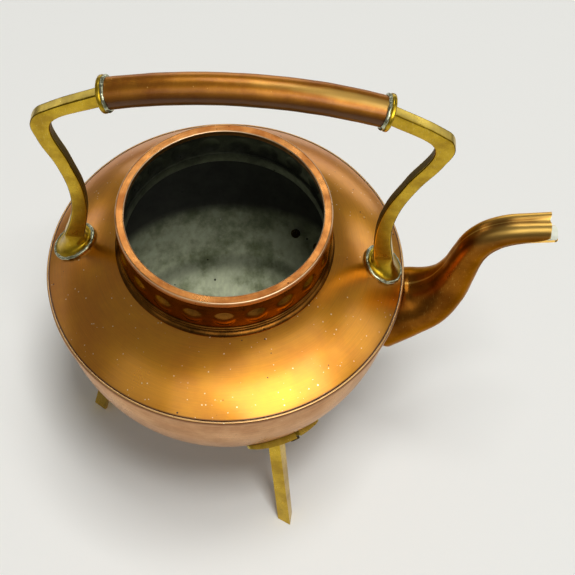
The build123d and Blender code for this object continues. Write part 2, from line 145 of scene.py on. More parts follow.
def arc(start: tuple, middle: tuple, end: tuple, steps: int) -> list[tuple[float, float]]:
    """Points of the flat arc through three points.

    Args:
        start: first point.
        middle: a point on the way.
        end: last point.
        steps: number of spans.

    Returns:
        The points from start to end.
    """
    (ax, ay), (bx, by), (cx, cy) = start, middle, end
    d = 2 * (ax * (by - cy) + bx * (cy - ay) + cx * (ay - by))
    a2, b2, c2 = ax * ax + ay * ay, bx * bx + by * by, cx * cx + cy * cy
    ox = (a2 * (by - cy) + b2 * (cy - ay) + c2 * (ay - by)) / d
    oy = (a2 * (cx - bx) + b2 * (ax - cx) + c2 * (bx - ax)) / d
    radius = math.hypot(ax - ox, ay - oy)
    first, through, last = (math.atan2(y - oy, x - ox) for x, y in (start, middle, end))
    turn, part = (last - first) % math.tau, (through - first) % math.tau
    if part > turn:
        turn -= math.tau
    return [
        (ox + radius * math.cos(first + turn * i / steps), oy + radius * math.sin(first + turn * i / steps))
        for i in range(steps + 1)
    ]


class Track:
    """Smooth curve through stations of any number of values, spaced by distance."""

    def __init__(self, stations: list[tuple], measured: int) -> None:
        """Keep the stations.

        Args:
            stations: rows of values that the curve passes through.
            measured: how many of the first values are coordinates that give the spacing.
        """
        self.stations = stations
        self.at = [0.0]
        for one, two in zip(stations, stations[1:]):
            self.at.append(self.at[-1] + math.dist(one[:measured], two[:measured]))
        self.length = self.at[-1]
        self.slopes = [self._slope(i) for i in range(len(stations))]

    def _slope(self, i: int) -> tuple:
        """Rate of change of each value at a station.

        Args:
            i: place of the station.

        Returns:
            The rates.
        """
        last = len(self.stations) - 1
        if i in (0, last):
            i0, i1 = (0, 1) if i == 0 else (last - 1, last)
            step = self.at[i1] - self.at[i0]
            return tuple((b - a) / step for a, b in zip(self.stations[i0], self.stations[i1]))
        before, after = self.at[i] - self.at[i - 1], self.at[i + 1] - self.at[i]
        return tuple(
            ((b - a) / before * after + (c - b) / after * before) / (before + after)
            for a, b, c in zip(self.stations[i - 1], self.stations[i], self.stations[i + 1])
        )

    def point(self, distance: float) -> tuple:
        """Values at a distance along the curve.

        Args:
            distance: how far along, held within the curve.

        Returns:
            The values.
        """
        distance = min(max(distance, 0.0), self.length)
        i = 0
        while i < len(self.at) - 2 and distance > self.at[i + 1]:
            i += 1
        span = self.at[i + 1] - self.at[i]
        t = (distance - self.at[i]) / span
        # the cubic that meets both stations with their slopes
        h00, h10 = 2 * t**3 - 3 * t * t + 1, t**3 - 2 * t * t + t
        h01, h11 = 3 * t * t - 2 * t**3, t**3 - t * t
        ends = zip(self.stations[i], self.stations[i + 1], self.slopes[i], self.slopes[i + 1])
        return tuple(h00 * a + h10 * span * sa + h01 * b + h11 * span * sb for a, b, sa, sb in ends)


def skin(
    name: str,
    rows: list[list[Vector]],
    materials: list[bpy.types.Material],
    bands: list[int] | None = None,
    highlight_marks: Marks = None,
    shade_marks: Marks = None,
    loop: bool = False,
    crease: float = 32.0,
) -> bpy.types.Object:
    """Close a mesh over rings of points.

    Args:
        name: name of the new object.
        rows: rings of points in millimetres; a ring of one point is a pole.
        materials: finishes of the mesh.
        bands: for each span between two rings, the place of its finish in materials.
        highlight_marks: how bright the painted highlight and wear are at a ring and a place in it, kept as
            the attribute "rubbed".
        shade_marks: how dark the painted shade is at a ring and a place in it, kept as the attribute
            "painted_shade".
        loop: whether the last ring joins the first one again.
        crease: angle in degrees above which an edge stays sharp.

    Returns:
        The object, with its faces pointing outwards.
    """
    mesh = bmesh.new()
    # one layer for painted highlights with wear, one for painted shade
    rubbed, painted_shade = (mesh.verts.layers.float.new(kind) for kind in ("rubbed", "painted_shade"))
    rings = []
    for place, row in enumerate(rows):
        ring = [mesh.verts.new(point * MM) for point in row]
        for around, vertex in enumerate(ring):
            vertex[rubbed] = highlight_marks(place, around) if highlight_marks else 0.0
            vertex[painted_shade] = shade_marks(place, around) if shade_marks else 0.0
        rings.append(ring)
    spans = list(zip(rings, rings[1:])) + ([(rings[-1], rings[0])] if loop else [])
    for place, (low, high) in enumerate(spans):
        count = max(len(low), len(high))
        for i in range(count):
            j = (i + 1) % count
            if len(low) == 1:
                corners = [low[0], high[j], high[i]]
            elif len(high) == 1:
                corners = [low[i], low[j], high[0]]
            else:
                corners = [low[i], low[j], high[j], high[i]]
            face = mesh.faces.new(corners)
            face.smooth = True
            face.material_index = bands[place] if bands else 0
    if not loop:
        for ring, slot in ((rings[0], 0), (rings[-1], -1)):
            if len(ring) > 1:
                cap = mesh.faces.new(ring if slot else list(reversed(ring)))
                cap.material_index = bands[slot] if bands else 0
    # rings may run either way round, and the closed mesh is turned right side out
    if mesh.calc_volume(signed=True) < 0:
        bmesh.ops.reverse_faces(mesh, faces=mesh.faces)
    return finished(name, mesh, materials, crease)


def finished(
    name: str, mesh: bmesh.types.BMesh, materials: list[bpy.types.Material], crease: float
) -> bpy.types.Object:
    """Turn a bmesh into an object with its finishes and its sharp edges.

    Args:
        name: name of the object.
        mesh: the geometry, which is freed.
        materials: finishes of the mesh.
        crease: angle in degrees above which an edge stays sharp.

    Returns:
        The object in the scene.
    """
    data = bpy.data.meshes.new(name)
    mesh.to_mesh(data)
    mesh.free()
    for material in materials:
        data.materials.append(material)
    data.set_sharp_from_angle(angle=math.radians(crease))
    made = bpy.data.objects.new(name, data)
    bpy.context.scene.collection.objects.link(made)
    return made


def lathe(
    name: str,
    profile: list[tuple[float, float]],
    materials: list[bpy.types.Material],
    steps: int,
    bands: list[int] | None = None,
    highlight_marks: Marks = None,
    shade_marks: Marks = None,
    loop: bool = False,
    dent: float = 0.0,
    dent_size: float = 30.0,
    crease: float = 32.0,
) -> bpy.types.Object:
    """Turn a profile round the body's axis, with the shallow dents of hand work.

    Args:
        name: name of the new object.
        profile: radius and height of each point; a radius of 0 is a pole.
        materials: finishes of the mesh.
        steps: points round the axis.
        bands: for each span of the profile, the place of its finish in materials.
        highlight_marks: how bright the painted highlight and wear are at a point of the profile and a place
            round the axis.
        shade_marks: how dark the painted shade is at a point of the profile and a place round the axis.
        loop: whether the profile is closed.
        dent: how far the deepest dents go in.
        dent_size: how wide the dents are.
        crease: angle in degrees above which an edge stays sharp.

    Returns:
        The object.
    """
    rows = []
    for radius, z in profile:
        if radius < POLE_RADIUS:
            rows.append([Vector((0, 0, z))])
            continue
        ring = []
        for i in range(steps):
            turn = math.tau * i / steps
            point = Vector((radius * math.cos(turn), radius * math.sin(turn), z))
            push = dent * (0.5 + 0.5 * noise.noise(point / dent_size))
            ring.append(point * (1 - push / point.length) if dent else point)
        rows.append(ring)
    return skin(name, rows, materials, bands, highlight_marks, shade_marks, loop, crease)


def grown(
    name: str, tree: bpy.types.NodeTree, sizes: dict, start: bpy.types.Object | None = None
) -> bpy.types.Object:
    """Run a geometry tree once and keep what it makes as a plain mesh.

    Args:
        name: name of the object.
        tree: the geometry tree.
        sizes: value for each named input of the tree.
        start: object whose mesh the tree works on, or None.

    Returns:
        The object, without its modifier.
    """
    made = start
    if made is None:
        made = bpy.data.objects.new(name, bpy.data.meshes.new(name))
        bpy.context.scene.collection.objects.link(made)
    modifier = made.modifiers.new(tree.name, "NODES")
    modifier.node_group = tree
    for item in tree.interface.items_tree:
        if item.in_out == "INPUT" and item.name in sizes:
            modifier[item.identifier] = sizes[item.name]
    graph = bpy.context.evaluated_depsgraph_get()
    data = bpy.data.meshes.new_from_object(made.evaluated_get(graph))
    made.modifiers.remove(modifier)
    made.data = data
    return made


def plant(name: str, inputs: dict[str, tuple[str, object]]) -> tuple[bpy.types.NodeTree, bpy.types.Node]:
    """Start a geometry tree with named inputs.

    Args:
        name: name of the tree.
        inputs: for each input, its socket type and its first value.

    Returns:
        The tree and its input node.
    """
    tree = bpy.data.node_groups.new(name, "GeometryNodeTree")
    for label, (kind, value) in inputs.items():
        socket = tree.interface.new_socket(name=label, in_out="INPUT", socket_type=kind)
        if value is not None:
            socket.default_value = value
    tree.interface.new_socket(name="Geometry", in_out="OUTPUT", socket_type="NodeSocketGeometry")
    return tree, add(tree, "NodeGroupInput", pick=None)


def close_tree(
    tree: bpy.types.NodeTree, geometry: bpy.types.NodeSocket, material: bpy.types.NodeSocket
) -> None:
    """End a geometry tree with real geometry, smooth faces and a finish.

    Args:
        tree: the geometry tree.
        geometry: what it has made.
        material: the finish.
    """
    real = add(tree, "GeometryNodeRealizeInstances", {0: geometry})
    smooth = add(tree, "GeometryNodeSetShadeSmooth", {0: real})
    dressed = add(tree, "GeometryNodeSetMaterial", {"Geometry": smooth, "Material": material})
    add(tree, "NodeGroupOutput", {0: dressed}, pick=None)


# --- finishes ---------------------------------------------------------------------------


@dataclass(frozen=True)
class Metal:
    """A worn metal surface: patches of tarnish, worked lines, pits, flecks and scratches, with the painted
    highlights and painted shade that its mesh carries.

    The lines of a lathe or a rag lie about a tenth of a millimetre apart on the real metal. They
    would not show at that size, so they are drawn as coarse as they need to be.

    Attributes:
        name: what the finish is and how it was made.
        clean: colour of the clean metal.
        tarnish: colour of the tarnished patches.
        bright: colour of flecks, scratches, worn places and painted highlights.
        dark: colour of pits and of painted shade.
        roughness: roughness half way between clean and tarnished.
        spread: how far the patches move the roughness down and up.
        patch_mm: size of the tarnished patches.
        grain: how the fine lines run.
        grain_mm: distance between the lines.
        grain_fall: share of the height that is added to the radius, to keep spun lines even on a slope.
        grain_show: how much the lines darken the colour.
        pit_mm: distance between pits.
        pits: size of the largest pits as a share of that distance.
        fleck_mm: distance between flecks.
        flecks: size of the largest flecks as a share of that distance.
        scratch_mm: width of a scratch.
        scratches: how bright the scratches are.
        relief_mm: depth of the lines and the pits.
        metallic: 1 for bare metal, and less where a film of oxide dulls it.
        glancing: colour of what the metal mirrors at a low angle.
        wax: how thick a clear film of wax or lacquer lies on the metal, for a pale highlight.
        stretch: how far a highlight is drawn out across the spun lines.
    """

    name: str
    clean: str
    tarnish: str
    bright: str
    dark: str
    roughness: float
    spread: float = 0.12
    patch_mm: float = 30.0
    grain: Grain = Grain.RUBBED
    grain_mm: float = 0.8
    grain_fall: float = 0.0
    grain_show: float = 0.3
    pit_mm: float = 3.0
    pits: float = 0.1
    fleck_mm: float = 1.6
    flecks: float = 0.1
    scratch_mm: float = 0.5
    scratches: float = 0.3
    relief_mm: float = 0.05
    metallic: float = 1.0
    glancing: str = "#FFFFFF"
    wax: float = 0.0
    stretch: float = 0.0

    def material(self) -> bpy.types.Material:
        """Build the shader.

        Returns:
            The material, named for the finish.
        """
        made = bpy.data.materials.new(self.name)
        made.use_nodes = True
        tree = made.node_tree
        tree.nodes.clear()
        place = add(tree, "ShaderNodeTexCoord", pick="Object")
        # patches of tarnish, and the fine lines over them
        patch = add(
            tree,
            "ShaderNodeTexNoise",
            {"Vector": place, "Scale": 1 / (self.patch_mm * MM), "Detail": 5.0, "Roughness": 0.65},
        )
        tarnished = add(
            tree,
            "ShaderNodeMapRange",
            {"Value": patch, "From Min": 0.36, "From Max": 0.68},
            interpolation_type="SMOOTHSTEP",
        )
        colour = add(
            tree,
            "ShaderNodeMix",
            {0: tarnished, 6: linear(self.clean), 7: linear(self.tarnish)},
            pick=2,
            data_type="RGBA",
        )
        lines = self._lines(tree, place)
        shade = add(
            tree,
            "ShaderNodeMapRange",
            {
                "Value": lines,
                "From Min": 0.35,
                "From Max": 0.68,
                "To Min": 1 - self.grain_show,
                "To Max": 1.0,
            },
        )
        colour = add(tree, "ShaderNodeVectorMath", {0: colour, "Scale": shade}, operation="SCALE")
        # bright marks: flecks and scratches, and the painted highlights, partly on worn places, that the
        # mesh carries
        flecked = self._spots(tree, place, self.fleck_mm, self.flecks, 1.9)
        scratched = self._scratches(tree, place)
        # painted highlights from the mesh, some of them on worn places
        rubbed = add(tree, "ShaderNodeAttribute", pick="Fac", attribute_name="rubbed")
        lit = add(tree, "ShaderNodeMath", {0: flecked, 1: scratched}, operation="MAXIMUM")
        lit = add(tree, "ShaderNodeMath", {0: lit, 1: rubbed}, operation="MAXIMUM", use_clamp=True)
        colour = add(
            tree, "ShaderNodeMix", {0: lit, 6: colour, 7: linear(self.bright)}, pick=2, data_type="RGBA"
        )
        # dark marks: pits, and the painted shade that the mesh carries
        pitted = self._spots(tree, place, self.pit_mm, self.pits, 4.7)
        # painted shade from the mesh
        dark_shade = add(tree, "ShaderNodeAttribute", pick="Fac", attribute_name="painted_shade")
        dull = add(tree, "ShaderNodeMath", {0: pitted, 1: dark_shade}, operation="MAXIMUM", use_clamp=True)
        colour = add(
            tree, "ShaderNodeMix", {0: dull, 6: colour, 7: linear(self.dark)}, pick=2, data_type="RGBA"
        )
        # tarnish is matt, and painted shade and pits are rougher and lie low
        matt = add(
            tree,
            "ShaderNodeMapRange",
            {
                "Value": patch,
                "From Min": 0.3,
                "From Max": 0.7,
                "To Min": self.roughness - self.spread,
                "To Max": self.roughness + self.spread,
            },
        )
        matt = add(
            tree, "ShaderNodeMath", {0: dull, 1: 0.3, 2: matt}, operation="MULTIPLY_ADD", use_clamp=True
        )
        height = add(tree, "ShaderNodeMath", {0: dull, 1: -0.6, 2: lines}, operation="MULTIPLY_ADD")
        normal = add(
            tree, "ShaderNodeBump", {"Height": height, "Distance": self.relief_mm * MM, "Strength": 1.0}
        )
        inputs = {
            "Base Color": colour,
            "Metallic": self.metallic,
            "Roughness": matt,
            "Normal": normal,
            "Coat Weight": self.wax,
            "Coat Roughness": 0.2,
            "Specular Tint": linear(self.glancing),
        }
        if self.stretch:
            inputs["Anisotropic"] = self.stretch
            inputs["Tangent"] = add(tree, "ShaderNodeTangent", direction_type="RADIAL", axis="Z")
        surface = add(tree, "ShaderNodeBsdfPrincipled", inputs)
        add(tree, "ShaderNodeOutputMaterial", {"Surface": surface}, pick=None)
        return made

    def _lines(self, tree: bpy.types.NodeTree, place: bpy.types.NodeSocket) -> bpy.types.NodeSocket:
        """Fine lines left by the work on the metal.

        Args:
            tree: the shader.
            place: object coordinates.

        Returns:
            A value about 0.5 that follows the lines.
        """
        fine = 1 / (self.grain_mm * MM)
        if self.grain is Grain.SPUN:
            level = add(tree, "ShaderNodeVectorMath", {0: place, 1: (1, 1, 0)}, operation="MULTIPLY")
            radius = add(tree, "ShaderNodeVectorMath", {0: level}, pick="Value", operation="LENGTH")
            rise = add(
                tree,
                "ShaderNodeVectorMath",
                {0: place, 1: (0, 0, self.grain_fall)},
                pick="Value",
                operation="DOT_PRODUCT",
            )
            ring = add(tree, "ShaderNodeMath", {0: radius, 1: rise})
            ring = add(tree, "ShaderNodeMath", {0: ring, 1: fine}, operation="MULTIPLY")
            ring = add(tree, "ShaderNodeCombineXYZ", {"Z": ring})
            around = add(tree, "ShaderNodeVectorMath", {0: level}, operation="NORMALIZE")
            run = add(
                tree,
                "ShaderNodeVectorMath",
                {0: around, 1: (3.0, 3.0, 3.0), 2: ring},
                operation="MULTIPLY_ADD",
            )
        else:
            run = add(
                tree,
                "ShaderNodeMapping",
                {"Vector": place, "Rotation": (0.5, 0.3, 0.9), "Scale": (fine, fine / 14, fine)},
            )
        return add(
            tree, "ShaderNodeTexNoise", {"Vector": run, "Scale": 1.0, "Detail": 3.0, "Roughness": 0.6}
        )

    def _spots(
        self,
        tree: bpy.types.NodeTree,
        place: bpy.types.NodeSocket,
        size: float,
        amount: float,
        shift: float,
    ) -> bpy.types.NodeSocket:
        """Scattered spots of uneven size.

        Args:
            tree: the shader.
            place: object coordinates.
            size: distance between spots in millimetres.
            amount: radius of the largest spots as a share of that distance.
            shift: moves the pattern, so that two of them differ.

        Returns:
            1 on a spot and 0 off it.
        """
        moved = add(tree, "ShaderNodeVectorMath", {0: place, 1: (shift, shift, shift)})
        ragged = add(
            tree, "ShaderNodeTexNoise", {"Vector": moved, "Scale": 2.5 / (size * MM), "Detail": 2.0}
        )
        cells = add(tree, "ShaderNodeTexVoronoi", {"Vector": moved, "Scale": 1 / (size * MM)}, pick=None)
        # each cell has a reach of its own, and many have none, so they stay without a spot
        reach = add(
            tree,
            "ShaderNodeMapRange",
            {
                "Value": cells.outputs["Color"],
                "From Min": 0.42,
                "From Max": 0.85,
                "To Min": 0.0,
                "To Max": amount * 2,
            },
        )
        reach = add(tree, "ShaderNodeMath", {0: reach, 1: ragged}, operation="MULTIPLY")
        near = add(tree, "ShaderNodeMath", {0: reach, 1: cells.outputs["Distance"]}, operation="SUBTRACT")
        return add(tree, "ShaderNodeMapRange", {"Value": near, "From Min": 0.0, "From Max": 0.03})

    def _scratches(self, tree: bpy.types.NodeTree, place: bpy.types.NodeSocket) -> bpy.types.NodeSocket:
        """Sparse straight scratches in two directions.

        Args:
            tree: the shader.
            place: object coordinates.

        Returns:
            1 on a scratch and 0 off it.
        """
        fine = 1 / (self.scratch_mm * MM)
        lines = []
        for turn in ((0.2, 0.9, 0.7), (0.8, 0.1, 2.3)):
            run = add(
                tree,
                "ShaderNodeMapping",
                {
                    "Vector": place,
                    "Rotation": turn,
                    "Scale": (fine, fine / 45, 1 / (3 * MM)),
                },
            )
            wave = add(tree, "ShaderNodeTexNoise", {"Vector": run, "Scale": 1.0, "Detail": 1.0})
            line = add(
                tree,
                "ShaderNodeMapRange",
                {"Value": wave, "From Min": 0.69, "From Max": 0.76, "To Min": 0.0, "To Max": self.scratches},
            )
            lines.append(line)
        return add(tree, "ShaderNodeMath", {0: lines[0], 1: lines[1]}, operation="MAXIMUM")


# Spun copper under old lacquer: satin gold-brown with a pale sheen, fine rings, bright flecks.
SHOULDER_COPPER = Metal(
    "spun copper, satin polish",
    glancing="#EEC48A",
    wax=0.95,
    clean="#E49812",
    tarnish="#D0800C",
    bright="#FFE8B4",
    dark="#5A3210",
    roughness=0.3,
    spread=0.03,
    patch_mm=46,
    grain=Grain.SPUN,
    grain_mm=0.6,
    grain_fall=-1.0,
    grain_show=0.12,
    pit_mm=5.5,
    pits=0.1,
    fleck_mm=2.2,
    flecks=0.165,
    scratches=0.0,
    relief_mm=0.008,
    stretch=0.3,
)
# The bowl's spun copper, paler and pinker than the shoulder's, partly a painted reflection of the pale table
# below.
BOWL_COPPER = Metal(
    "spun copper, pale pink",
    glancing="#F4E4D0",
    clean="#D4A67E",
    tarnish="#BC8A64",
    bright="#F9E2C8",
    dark="#7A4E34",
    roughness=0.3,
    spread=0.06,
    patch_mm=22,
    grain=Grain.SPUN,
    grain_mm=1.0,
    grain_fall=1.0,
    grain_show=0.2,
    pit_mm=6.0,
    pits=0.08,
    fleck_mm=5.0,
    flecks=0.06,
    scratches=0.1,
    relief_mm=0.03,
    stretch=0.3,
)
# Copper that polish seldom reaches: red-brown between the bosses, partly tarnish and partly painted shade;
# the gold on their tops is a painted highlight.
COLLAR_COPPER = Metal(
    "pressed copper, darkened",
    glancing="#F0D0A0",
    clean="#80501C",
    tarnish="#4C2E0E",
    bright="#E8A850",
    dark="#241006",
    roughness=0.24,
    spread=0.05,
    patch_mm=12,
    grain=Grain.SPUN,
    grain_mm=0.8,
    grain_fall=1.0,
    grain_show=0.3,
    pit_mm=4.0,
    pits=0.1,
    flecks=0.05,
    scratches=0.1,
    relief_mm=0.02,
)
# The mouth ring's copper, handled bare: salmon with turned streaks, and a painted highlight on its edges.
RING_COPPER = Metal(
    "turned copper, handled",
    clean="#DA9450",
    tarnish="#BE7438",
    bright="#FFE0B4",
    dark="#5A3016",
    roughness=0.32,
    spread=0.08,
    patch_mm=10,
    grain=Grain.SPUN,
    grain_mm=0.6,
    grain_show=0.22,
    pit_mm=3.6,
    pits=0.12,
    fleck_mm=3.0,
    flecks=0.08,
    scratches=0.1,
    relief_mm=0.03,
)
# Hot-tinned copper inside: grey-green, matt and mottled, with dark pits.
TIN = Metal(
    "hot tinning, dulled",
    metallic=0.05,
    clean="#D0D6B2",
    tarnish="#7C845E",
    bright="#ECEEE2",
    dark="#1A1912",
    roughness=0.42,
    spread=0.12,
    patch_mm=16,
    grain_show=0.2,
    grain_mm=3.0,
    pit_mm=7.0,
    pits=0.12,
    fleck_mm=5.0,
    flecks=0.08,
    scratches=0.06,
    relief_mm=0.05,
)
# The tinning of the neck, gone darker and greener where hands and steam reach it.
COLLAR_TIN = Metal(
    "hot tinning, blackened",
    metallic=0.8,
    clean="#55584A",
    tarnish="#33352B",
    bright="#8E917C",
    dark="#141310",
    roughness=0.4,
    patch_mm=14,
    grain_show=0.2,
    grain_mm=2.0,
    pit_mm=6.0,
    pits=0.12,
    flecks=0.05,
    scratches=0.05,
    relief_mm=0.04,
)
# Cast brass, filed and polished by hand: olive yellow, with cream painted highlights on the bars' outer
# faces.
BRASS = Metal(
    "cast brass, hand polished",
    clean="#D2AE2E",
    tarnish="#AE8A1C",
    bright="#FBEC98",
    dark="#42320A",
    roughness=0.3,
    spread=0.06,
    patch_mm=14,
    grain_mm=0.6,
    grain_show=0.14,
    pit_mm=5.0,
    pits=0.09,
    fleck_mm=4.0,
    flecks=0.08,
    scratches=0.18,
    relief_mm=0.015,
)
# The cast palms behind the legs: the same brass, left duller by the polishing cloth.
PALM_BRASS = replace(BRASS, name="cast brass, dull", clean="#E2CE5A", tarnish="#C0A838", metallic=0.5)
# Rivet heads, coloured nearly black.
RIVET_BRASS = replace(BRASS, name="brass rivets, black", clean="#5A4620", tarnish="#2E2410", roughness=0.4)
# Drawn copper tube of the spout, polished with a rag: deep brown, with painted highlights in gold.
SPOUT_COPPER = Metal(
    "drawn copper, polished",
    glancing="#F2D2B0",
    clean="#8E5618",
    tarnish="#66380C",
    bright="#FACB6A",
    dark="#44240A",
    roughness=0.3,
    spread=0.04,
    patch_mm=26,
    grain_mm=0.8,
    grain_show=0.12,
    pit_mm=6.0,
    pits=0.08,
    fleck_mm=5.0,
    flecks=0.08,
    scratches=0.15,
    relief_mm=0.01,
)
# The grip's copper, worn to a waxy satin by hands.
GRIP_COPPER = replace(
    SPOUT_COPPER,
    name="drawn copper, satin grip",
    wax=0.5,
    clean="#CC8420",
    tarnish="#A66010",
    roughness=0.4,
    grain_show=0.08,
    scratches=0.06,
    fleck_mm=5.5,
    flecks=0.1,
)
# Tin solder, wiped on hot and never filed: silvery with dark hollows.
SOLDER = Metal(
    "soft solder, left rough",
    clean="#CCCEAE",
    tarnish="#8E9070",
    bright="#F8F9EE",
    dark="#343220",
    roughness=0.24,
    spread=0.08,
    patch_mm=3,
    grain_mm=1.2,
    grain_show=0.25,
    pit_mm=2.6,
    pits=0.16,
    fleck_mm=2.0,
    flecks=0.16,
    relief_mm=0.05,
)


@dataclass(frozen=True)
class Table:
    """Pale paper under the object, just below its feet."""

    colour: str = "#F6F6F2"
    half_size: float = 650.0
    drop: float = 0.2

    def build(self) -> bpy.types.Object:
        """Lay the sheet.

        Returns:
            The floor's object.
        """
        made = bpy.data.materials.new("matt paper")
        made.use_nodes = True
        tree = made.node_tree
        tree.nodes.clear()
        surface = add(tree, "ShaderNodeBsdfDiffuse", {"Color": linear(self.colour)})
        add(tree, "ShaderNodeOutputMaterial", {"Surface": surface}, pick=None)
        mesh = bmesh.new()
        reach, z = self.half_size * MM, -self.drop * MM
        corners = ((-reach, -reach), (reach, -reach), (reach, reach), (-reach, reach))
        mesh.faces.new([mesh.verts.new((x, y, z)) for x, y in corners])
        floor = finished("table", mesh, [made], 30)
        return floor


# --- the body ---------------------------------------------------------------------------


@dataclass
class Envelope:
    """Outside of the body that the other pieces sit on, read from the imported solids.

    Attributes:
        sheet: thickness of the bowl's and the shoulder's copper.
        flange_width: how far the bowl's flange stands out.
        flange_thickness: its thickness.
        seat: clearance between a piece and what it sits on.
        bead_width: width of the bead round the shoulder's edge.
        groove_width: width of the chased groove inside the bead.
        groove_depth: its depth.
        hem_wall: thickness of the hem that is folded round the flange.
        hem_height: its height.
        crown: rise of the shoulder's line above a straight cone.
        lip_height: height of the shoulder's upturned lip.
        ring_over: how far the mouth ring stands out over the neck.
        neck_wall: thickness of the neck's copper.
    """

    sheet: float = 1.0
    flange_width: float = 1.3
    flange_thickness: float = 0.8
    seat: float = 0.1
    bead_width: float = 0.8
    groove_width: float = 0.5
    groove_depth: float = 0.6
    hem_wall: float = 0.8
    hem_height: float = 3.7
    crown: float = 2.6
    lip_height: float = 6.0
    ring_over: float = 0.6
    neck_wall: float = 0.9

    def __post_init__(self) -> None:
        """Take the main sizes from the boxes of the bowl, shoulder and mouth ring."""
        low, high = (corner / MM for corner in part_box("bowl"))
        self.bowl_bottom, self.bowl_top = low.z, high.z - self.flange_thickness
        self.bowl_radius = high.y - self.flange_width
        low, high = (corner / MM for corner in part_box("shoulder"))
        self.radius, self.hem_bottom = high.y, low.z
        self.hem_top = low.z + self.hem_height
        self.shoulder_top = high.z - self.lip_height
        self.edge = self.radius - self.bead_width - self.groove_width
        low, high = (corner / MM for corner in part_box("mouth_ring"))
        self.ring_radius, self.neck_top, self.ring_top = high.y, low.z, high.z
        self.neck_radius = high.y - self.ring_over
        self.neck_bore = self.neck_radius - self.neck_wall
        self.lip_radius = self.neck_bore - self.seat
        self.slope = self.shoulder_line(0.0, 80)

    def shoulder_line(self, offset: float, steps: int) -> list[tuple[float, float]]:
        """Crowned line of the shoulder from its upturned lip out to the groove.

        Args:
            offset: how far the line is moved up along its normal.
            steps: number of spans.

        Returns:
            Radius and height of each point.
        """
        tilt = math.atan2(self.shoulder_top - self.hem_top, self.edge - self.lip_radius)
        points = []
        for radius, z, rise in (
            (self.lip_radius, self.shoulder_top, 0.0),
            ((self.lip_radius + self.edge) / 2, (self.shoulder_top + self.hem_top) / 2, self.crown),
            (self.edge, self.hem_top, 0.0),
        ):
            lift = offset + rise
            points.append((radius + lift * math.sin(tilt), z + lift * math.cos(tilt)))
        return arc(*points, steps)

    def shoulder_z(self, radius: float) -> float:
        """Height of the shoulder's outside at a radius.

        Args:
            radius: distance from the axis.

        Returns:
            The height, which stays level past the cone's two ends.
        """
        for (r0, z0), (r1, z1) in zip(self.slope, self.slope[1:]):
            if r0 <= radius <= r1:
                return lerp(z0, z1, (radius - r0) / (r1 - r0))
        return self.hem_top if radius > self.edge else self.shoulder_top

    def bowl_r(self, z: float) -> float:
        """Radius of the bowl's outside at a height."""
        share = (self.bowl_top - z) / (self.bowl_top - self.bowl_bottom)
        return self.bowl_radius * math.sqrt(max(0.0, 1 - share * share))

    def inside(self, point: Vector) -> bool:
        """Whether a point lies within the bowl, the hem or the shoulder.

        Args:
            point: the point.

        Returns:
            True inside the body.
        """
        radius = math.hypot(point.x, point.y)
        if point.z < self.hem_bottom:
            return point.z > self.bowl_bottom and radius < self.bowl_r(point.z)
        if point.z < self.hem_top:
            return radius < self.radius
        return radius < self.edge and point.z < self.shoulder_z(radius)


